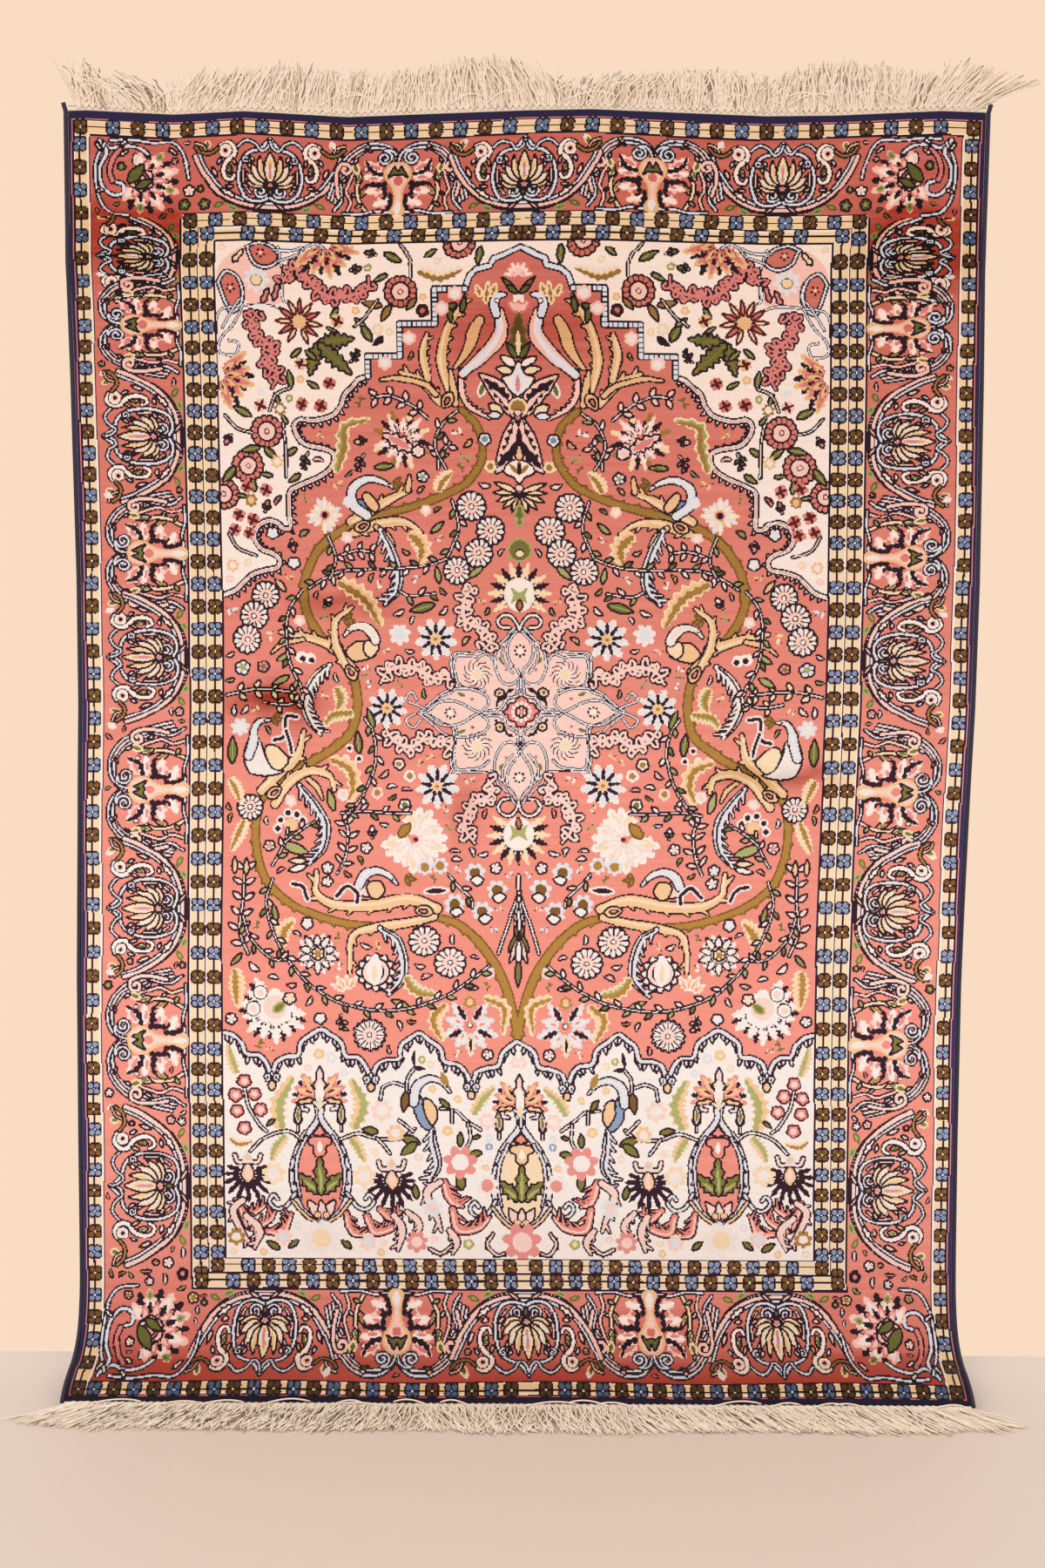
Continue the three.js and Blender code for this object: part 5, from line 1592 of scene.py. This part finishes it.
# The side cords
# The outer warps of each side, bound round and round with dark yarn, so every turn stands proud.
# A short end of the cord stands up past each top corner.
STUB_HEIGHT = 0.011
STUB_LEAN = 0.003
WRAP_PITCH = 0.0024
WRAP_DEPTH = 0.0003
CORD_SIDES = 10
yarn_look, tree, shader = material("overcast yarn")
place = node(tree, "ShaderNodeTexCoord").outputs["Object"]
fuzz = node(tree, "ShaderNodeTexNoise", {0: place, 2: 900, 3: 3.0}).outputs[0]
ramp = node(tree, "ShaderNodeValToRGB", {0: fuzz})
ramp.color_ramp.elements[0].color = linear(18, 15, 28)
ramp.color_ramp.elements[1].color = linear(62, 54, 78)
tree.links.new(ramp.outputs[0], shader.inputs["Base Color"])
shader.inputs["Roughness"].default_value = 0.8
for side, cord_name in ((-1, "selvedge_left"), (1, "selvedge_right")):
    down = np.arange(-STUB_HEIGHT, PILE_LENGTH, WRAP_PITCH / 4)
    lean = side * STUB_LEAN * np.maximum(-down / STUB_HEIGHT, 0)
    path = cloth_point(side * (RUG_WIDTH / 2 - SELVEDGE_RADIUS), down, 0)
    path[:, 0] += lean
    path[:, 1] = np.minimum(path[:, 1], -SELVEDGE_RADIUS)
    radius = SELVEDGE_RADIUS - WRAP_DEPTH * (1 + np.cos(down / WRAP_PITCH * 2 * math.pi)) / 2
    cord = tubes("bound_" + cord_name, path[None], radius[None], CORD_SIDES)
    cord.data.materials.append(yarn_look)
    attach(cord, "root")
    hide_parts(cord_name)

# The upper fringe
# Beyond the pile a few rows of plain weave, then the warps knotted in small groups. The loose
# cotton ends stand up against the wall, combed this way and that, some curling over.
END_STRIP_LENGTH = 0.007
END_STRIP_THICKNESS = 0.004
STRIP_COLUMNS = 161
KNOT_GROUPS = 128
STRANDS_PER_GROUP = 10
KNOT_HALF = 0.0012
SPREAD_HALF = 0.0062
SPREAD_LENGTH = 0.012
ROOT_OUT = END_STRIP_THICKNESS / 2 + 0.0006
ROOT_INSET = 0.014
STRAND_RADIUS = 0.00112
STRAND_POINTS = 11
FALLEN_THREADS = 16
UPPER_REACH = 0.066
# Metres again: how far below the strip's end the roots start, how far a curl carries a tip aside, the
# share of its height that it costs, and how far the strands stand off the strip and lean to the wall.
ROOTS_DOWN = 0.0045
CURL_REACH = 0.022
CURL_DROP = 0.55
STAND_OFF = 0.0036
STAND_OFF_DEPTH = 0.009
STRAND_SIDES = 4
# The comb of the fringe: across in millimetres, degrees of lean to the right, share of full length
# and curl from 0 to 1.
UPPER_COMB = ((-604, 2, 1.08, 0), (-578, -14, 1.1, 0.3), (-556, -12, 0.9, 0.5), (-545, -24, 0.95, 0.9),
    (-510, -40, 1.05, 0.9), (-478, -24, 0.9, 0.8), (-465, 16, 0.85, 0.1), (-420, 26, 0.9, 0.1),
    (-345, 20, 0.98, 0), (-300, 8, 0.95, 0), (-200, 10, 0.9, 0.1), (-100, 2, 1, 0), (-50, -14, 1.1, 0),
    (20, -18, 1.05, 0.1), (55, -10, 0.7, 0.5), (75, 18, 0.85, 0.5), (160, 4, 0.85, 0.6),
    (200, -4, 0.92, 0.1), (290, 2, 0.92, 0.2), (320, 14, 0.85, 0.6), (350, 6, 1, 0.1), (420, -2, 1.1, 0),
    (480, 4, 0.95, 0.1), (510, 16, 0.8, 0), (545, 34, 1.1, 0), (580, 52, 1, 0), (604, 64, 1.05, 0))
dice = np.random.default_rng(7)

cotton_look, tree, shader = material("fringe cotton")
place = node(tree, "ShaderNodeTexCoord").outputs["Object"]
fuzz = node(tree, "ShaderNodeTexNoise", {0: place, 2: 700, 3: 2.0}).outputs[0]
# Painted shade and each strand's own tone, from its points, over a ramp from shaded brown to light cotton.
shade_and_tone = node(tree, "ShaderNodeAttribute", attribute_name="shade_and_tone").outputs["Fac"]
mixed_shade = maths(tree, "ADD", maths(tree, "MULTIPLY", fuzz, 0.5), maths(tree, "MULTIPLY", shade_and_tone, 0.75))
ramp = node(tree, "ShaderNodeValToRGB", {0: mixed_shade})
ramp.color_ramp.elements[0].position = 0.12
ramp.color_ramp.elements[0].color = linear(138, 100, 70)
ramp.color_ramp.elements[1].position = 0.62
ramp.color_ramp.elements[1].color = linear(248, 233, 214)
tree.links.new(ramp.outputs[0], shader.inputs["Base Color"])
shader.inputs["Roughness"].default_value = 0.9


def combed(comb):
    """Roots of the strands, each one's place in its knot, lean in radians, share of the length and curl."""
    columns = np.array(comb, dtype=float).T
    half = CLOTH_HALF - ROOT_INSET
    root = np.repeat(np.linspace(-half, half, KNOT_GROUPS), STRANDS_PER_GROUP)
    in_knot = np.tile(np.linspace(-1, 1, STRANDS_PER_GROUP), KNOT_GROUPS)
    in_knot = in_knot + dice.uniform(-0.12, 0.12, len(root))
    group_lean = np.repeat(dice.normal(0, 0.07, KNOT_GROUPS), STRANDS_PER_GROUP)
    lean = np.radians(np.interp(root * 1000, columns[0], columns[1])) + group_lean
    lean = lean + dice.normal(0, 0.1, len(root))
    group_share = np.repeat(dice.uniform(0.92, 1.04, KNOT_GROUPS), STRANDS_PER_GROUP)
    share = np.interp(root * 1000, columns[0], columns[2]) * group_share
    share = share * dice.uniform(0.84, 1.02, len(root))
    curl = np.interp(root * 1000, columns[0], columns[3]) * dice.uniform(0.2, 1, len(root))
    return [values[:, None] for values in (root, in_knot, lean, share, curl)]


def fanned(in_knot, reach):
    """How far each strand stands from the middle of its knot: close at the root, spread further out."""
    opened = smooth_step(along * reach, 0, SPREAD_LENGTH)
    return in_knot * (KNOT_HALF + (SPREAD_HALF - KNOT_HALF) * opened)


def waves(count, size, turns):
    """A wave of its own along each strand, still at the root."""
    strength = size * dice.normal(0, 1, (count, 1))
    return strength * np.sin(along * turns + dice.uniform(0, 6, (count, 1))) * np.minimum(along * 3, 1)


def end_strip(name, low, high):
    """The plain-woven strip: a thin slab across the whole width."""
    across = np.linspace(-CLOTH_HALF, CLOTH_HALF, STRIP_COLUMNS)
    half = END_STRIP_THICKNESS / 2
    loop = ((low, -half), (high, -half), (high, half), (low, half), (low, -half))
    points = np.stack([cloth_point(across, down, out) for down, out in loop])
    return grid_piece(name, points)


def fallen(first_down, arch, out):
    """Long threads lying in arcs across the roots, as loose ends do."""
    threads = []
    starts = np.linspace(-0.57, 0.55, FALLEN_THREADS) + dice.uniform(-0.025, 0.025, FALLEN_THREADS)
    for first in starts:
        span = dice.uniform(0.035, 0.07) * dice.choice((-1, 1))
        span = span * (1 if abs(first) < 0.5 else -np.sign(first))
        bow = arch * dice.uniform(0.4, 1) * np.sin(along[0] * math.pi * 0.8)
        threads.append(cloth_point(first + span * along[0], first_down - bow, out))
    return np.array(threads)


def cotton(piece, shades, node_name):
    """Gives each strand of a piece its painted shade and tone, dark at 0 and light at 1, and hands the
    piece to its node.
    """
    each = len(piece.data.vertices) // len(shades)
    point_values(piece, "shade_and_tone", np.repeat(shades, each))
    piece.data.materials.append(cotton_look)
    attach(piece, "root")
    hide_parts(node_name)


strip_top = -PIECE_GAP - END_STRIP_LENGTH
# painted shade: light beside the pile and dark between the knots
cotton(end_strip("upper_end", strip_top, -PIECE_GAP), (0, 0.9, 0.9, 0, 0), "fringe_upper")
root, in_knot, lean, share, curl = combed(UPPER_COMB)
along = np.linspace(0, 1, STRAND_POINTS)[None, :] ** 1.25
rise = UPPER_REACH * share * np.cos(lean) ** 0.7
base = cloth_point(root, strip_top + ROOTS_DOWN, ROOT_OUT)[:, 0]
count = len(root)
strands = np.zeros((count, STRAND_POINTS, 3))
strands[..., 0] = (base[:, 0:1] + fanned(in_knot, UPPER_REACH) + np.tan(lean) * along ** 1.3 * rise
                   + waves(count, 0.0024, 5) + waves(count, 0.0015, 13)
                   + curl * CURL_REACH * np.sign(lean) * along ** 3)
strands[..., 2] = base[:, 2:3] + rise * (along - CURL_DROP * curl * along ** 3)
depth = dice.uniform(0, 1, (count, 1))
stand_off = STAND_OFF - STAND_OFF_DEPTH * depth
strands[..., 1] = base[:, 1:2] + stand_off * np.sin(np.minimum(along * 1.6, 1) * math.pi / 2)
# Painted shade: strands nearer the wall, some locks and the curls are darker, over each strand's own tone.
lock_shade = np.repeat(dice.uniform(-0.25, 0.15, KNOT_GROUPS), STRANDS_PER_GROUP)
shades = 0.7 * depth[:, 0] + dice.uniform(0, 0.5, count) + lock_shade - 0.5 * curl[:, 0]
shades = np.clip(shades, 0, 1)
strands = np.concatenate((strands, fallen(strip_top - 0.004, arch=0.024, out=0.006)))
shades = np.concatenate((shades, np.full(FALLEN_THREADS, 0.9)))
radii = np.full(strands.shape[:2], STRAND_RADIUS)
radii[:, -1] *= 0.6
cotton(tubes("upper_fringe", strands, radii, STRAND_SIDES), shades, "fringe_upper")

# The floor fringe
# The same end at the toe, of the same cotton. Its strip follows the fall of the cloth; its strands
# drop to the floor and lie spread on it, fanned past both corners.
FLOOR_REACH = 0.089
FLOOR_PILE = 0.011
# As above, with the height of a curl and the share of a strand's length in which it drops.
FLOOR_ROOTS = 0.0005
FLOOR_CURL_REACH = 0.04
FLOOR_CURL_LIFT = 0.008
DROP_SHARE = 0.35
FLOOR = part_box("fringe_floor")[0][2]
FLOOR_COMB = ((-604, -64, 1, 0), (-560, -50, 1, 0.2), (-480, -36, 0.95, 0.1), (-400, -24, 0.95, 0.3),
    (-320, -8, 0.9, 0.6), (-250, -20, 0.95, 0.2), (-150, -4, 0.9, 0.5), (-60, 16, 0.95, 0.2),
    (10, -6, 0.95, 0.5), (110, 12, 1, 0.2), (200, 28, 0.95, 0.2), (270, 14, 0.9, 0.6), (330, 30, 0.95, 0.2),
    (430, 22, 1, 0.4), (510, 30, 1, 0.1), (560, 46, 1, 0), (604, 66, 1, 0))
strip_start = PILE_LENGTH + PIECE_GAP
strip_end = strip_start + END_STRIP_LENGTH
# Painted shade on the strip: light beside the pile and dark at its far end.
cotton(end_strip("floor_end", strip_start, strip_end), (0.9, 0, 0, 0.9, 0.9), "fringe_floor")
root, in_knot, lean, share, curl = combed(FLOOR_COMB)
length = FLOOR_REACH * share
base = cloth_point(root, strip_start + FLOOR_ROOTS, ROOT_OUT)[:, 0]
drop = np.minimum(along / DROP_SHARE, 1)
depth = dice.uniform(0, 1, (count, 1))
curl_lift = curl * FLOOR_CURL_LIFT * np.sin(along * math.pi) ** 2
height = STRAND_RADIUS + FLOOR_PILE * depth ** 1.5 * (1 - 0.75 * along) + curl_lift
strands = np.zeros((count, STRAND_POINTS, 3))
strands[..., 0] = (base[:, 0:1] + fanned(in_knot, FLOOR_REACH) + np.sin(lean) * length * along
                   + waves(count, 0.0034, 5) + waves(count, 0.0021, 13)
                   + curl * FLOOR_CURL_REACH * np.sign(lean) * along ** 2)
strands[..., 1] = base[:, 1:2] - np.cos(lean) * length * (along - 0.4 * curl * along ** 3)
strands[..., 2] = FLOOR + height + (base[:, 2:3] - FLOOR - height) * (1 - drop) ** 1.6
# Painted shade: strands lower in the heap are darker, over each strand's and lock's own tone.
shades = np.clip(0.06 + 0.6 * depth[:, 0] + dice.uniform(0, 0.5, count) + lock_shade, 0, 1)
strands = np.concatenate((strands, fallen(strip_end, arch=0.01, out=0.0065)))
shades = np.concatenate((shades, np.full(FALLEN_THREADS, 0.9)))
cotton(tubes("floor_fringe", strands, radii, STRAND_SIDES), shades, "fringe_floor")

# The floor, the light and the camera
# A plain pale floor under soft light, seen from a step back at a little over a metre high.
FLOOR_SIZE = 12
bpy.ops.mesh.primitive_plane_add(size=FLOOR_SIZE, location=(0, -FLOOR_SIZE / 2, FLOOR))
floor = bpy.context.object
floor.name = "studio_floor"
floor_look, tree, shader = material("studio floor")
shader.inputs["Base Color"].default_value = linear(225, 208, 194)
shader.inputs["Roughness"].default_value = 0.6
floor.data.materials.append(floor_look)

world = bpy.data.worlds.new("studio")
world.use_nodes = True
tree = world.node_tree
sky = tree.nodes["Background"]
sky.inputs[0].default_value = linear(255, 250, 246)
sky.inputs[1].default_value = 1.0
behind = node(tree, "ShaderNodeBackground", {0: linear(249, 220, 194)})
seen = node(tree, "ShaderNodeLightPath").outputs["Is Camera Ray"]
mixed = node(tree, "ShaderNodeMixShader", {0: seen, 1: sky.outputs[0], 2: behind.outputs[0]})
tree.links.new(mixed.outputs[0], tree.nodes["World Output"].inputs[0])
scene.world = world
scene.view_settings.view_transform = "Standard"

bpy.ops.object.light_add(type="AREA", location=(-1.4, -3.6, 1.1))
lamp = bpy.context.object
lamp.data.shape = "RECTANGLE"
lamp.data.size = 2.2
lamp.data.size_y = 1.6
lamp.data.energy = 30
lamp.rotation_euler = (math.radians(62), 0, math.radians(-22))

CAMERA_PLACE = (-0.0012, -3.5314, -0.3708)
CAMERA_PITCH = 8.48
CAMERA_ROLL = 0.31
bpy.ops.object.camera_add(location=CAMERA_PLACE)
camera = bpy.context.object
camera.data.lens = 60
camera.data.sensor_width = 36
camera.data.sensor_fit = "AUTO"
camera.rotation_euler = (math.radians(90 - CAMERA_PITCH), 0, 0)
camera.rotation_euler.rotate_axis("Z", math.radians(CAMERA_ROLL))
camera.data.dof.use_dof = False
scene.camera = camera
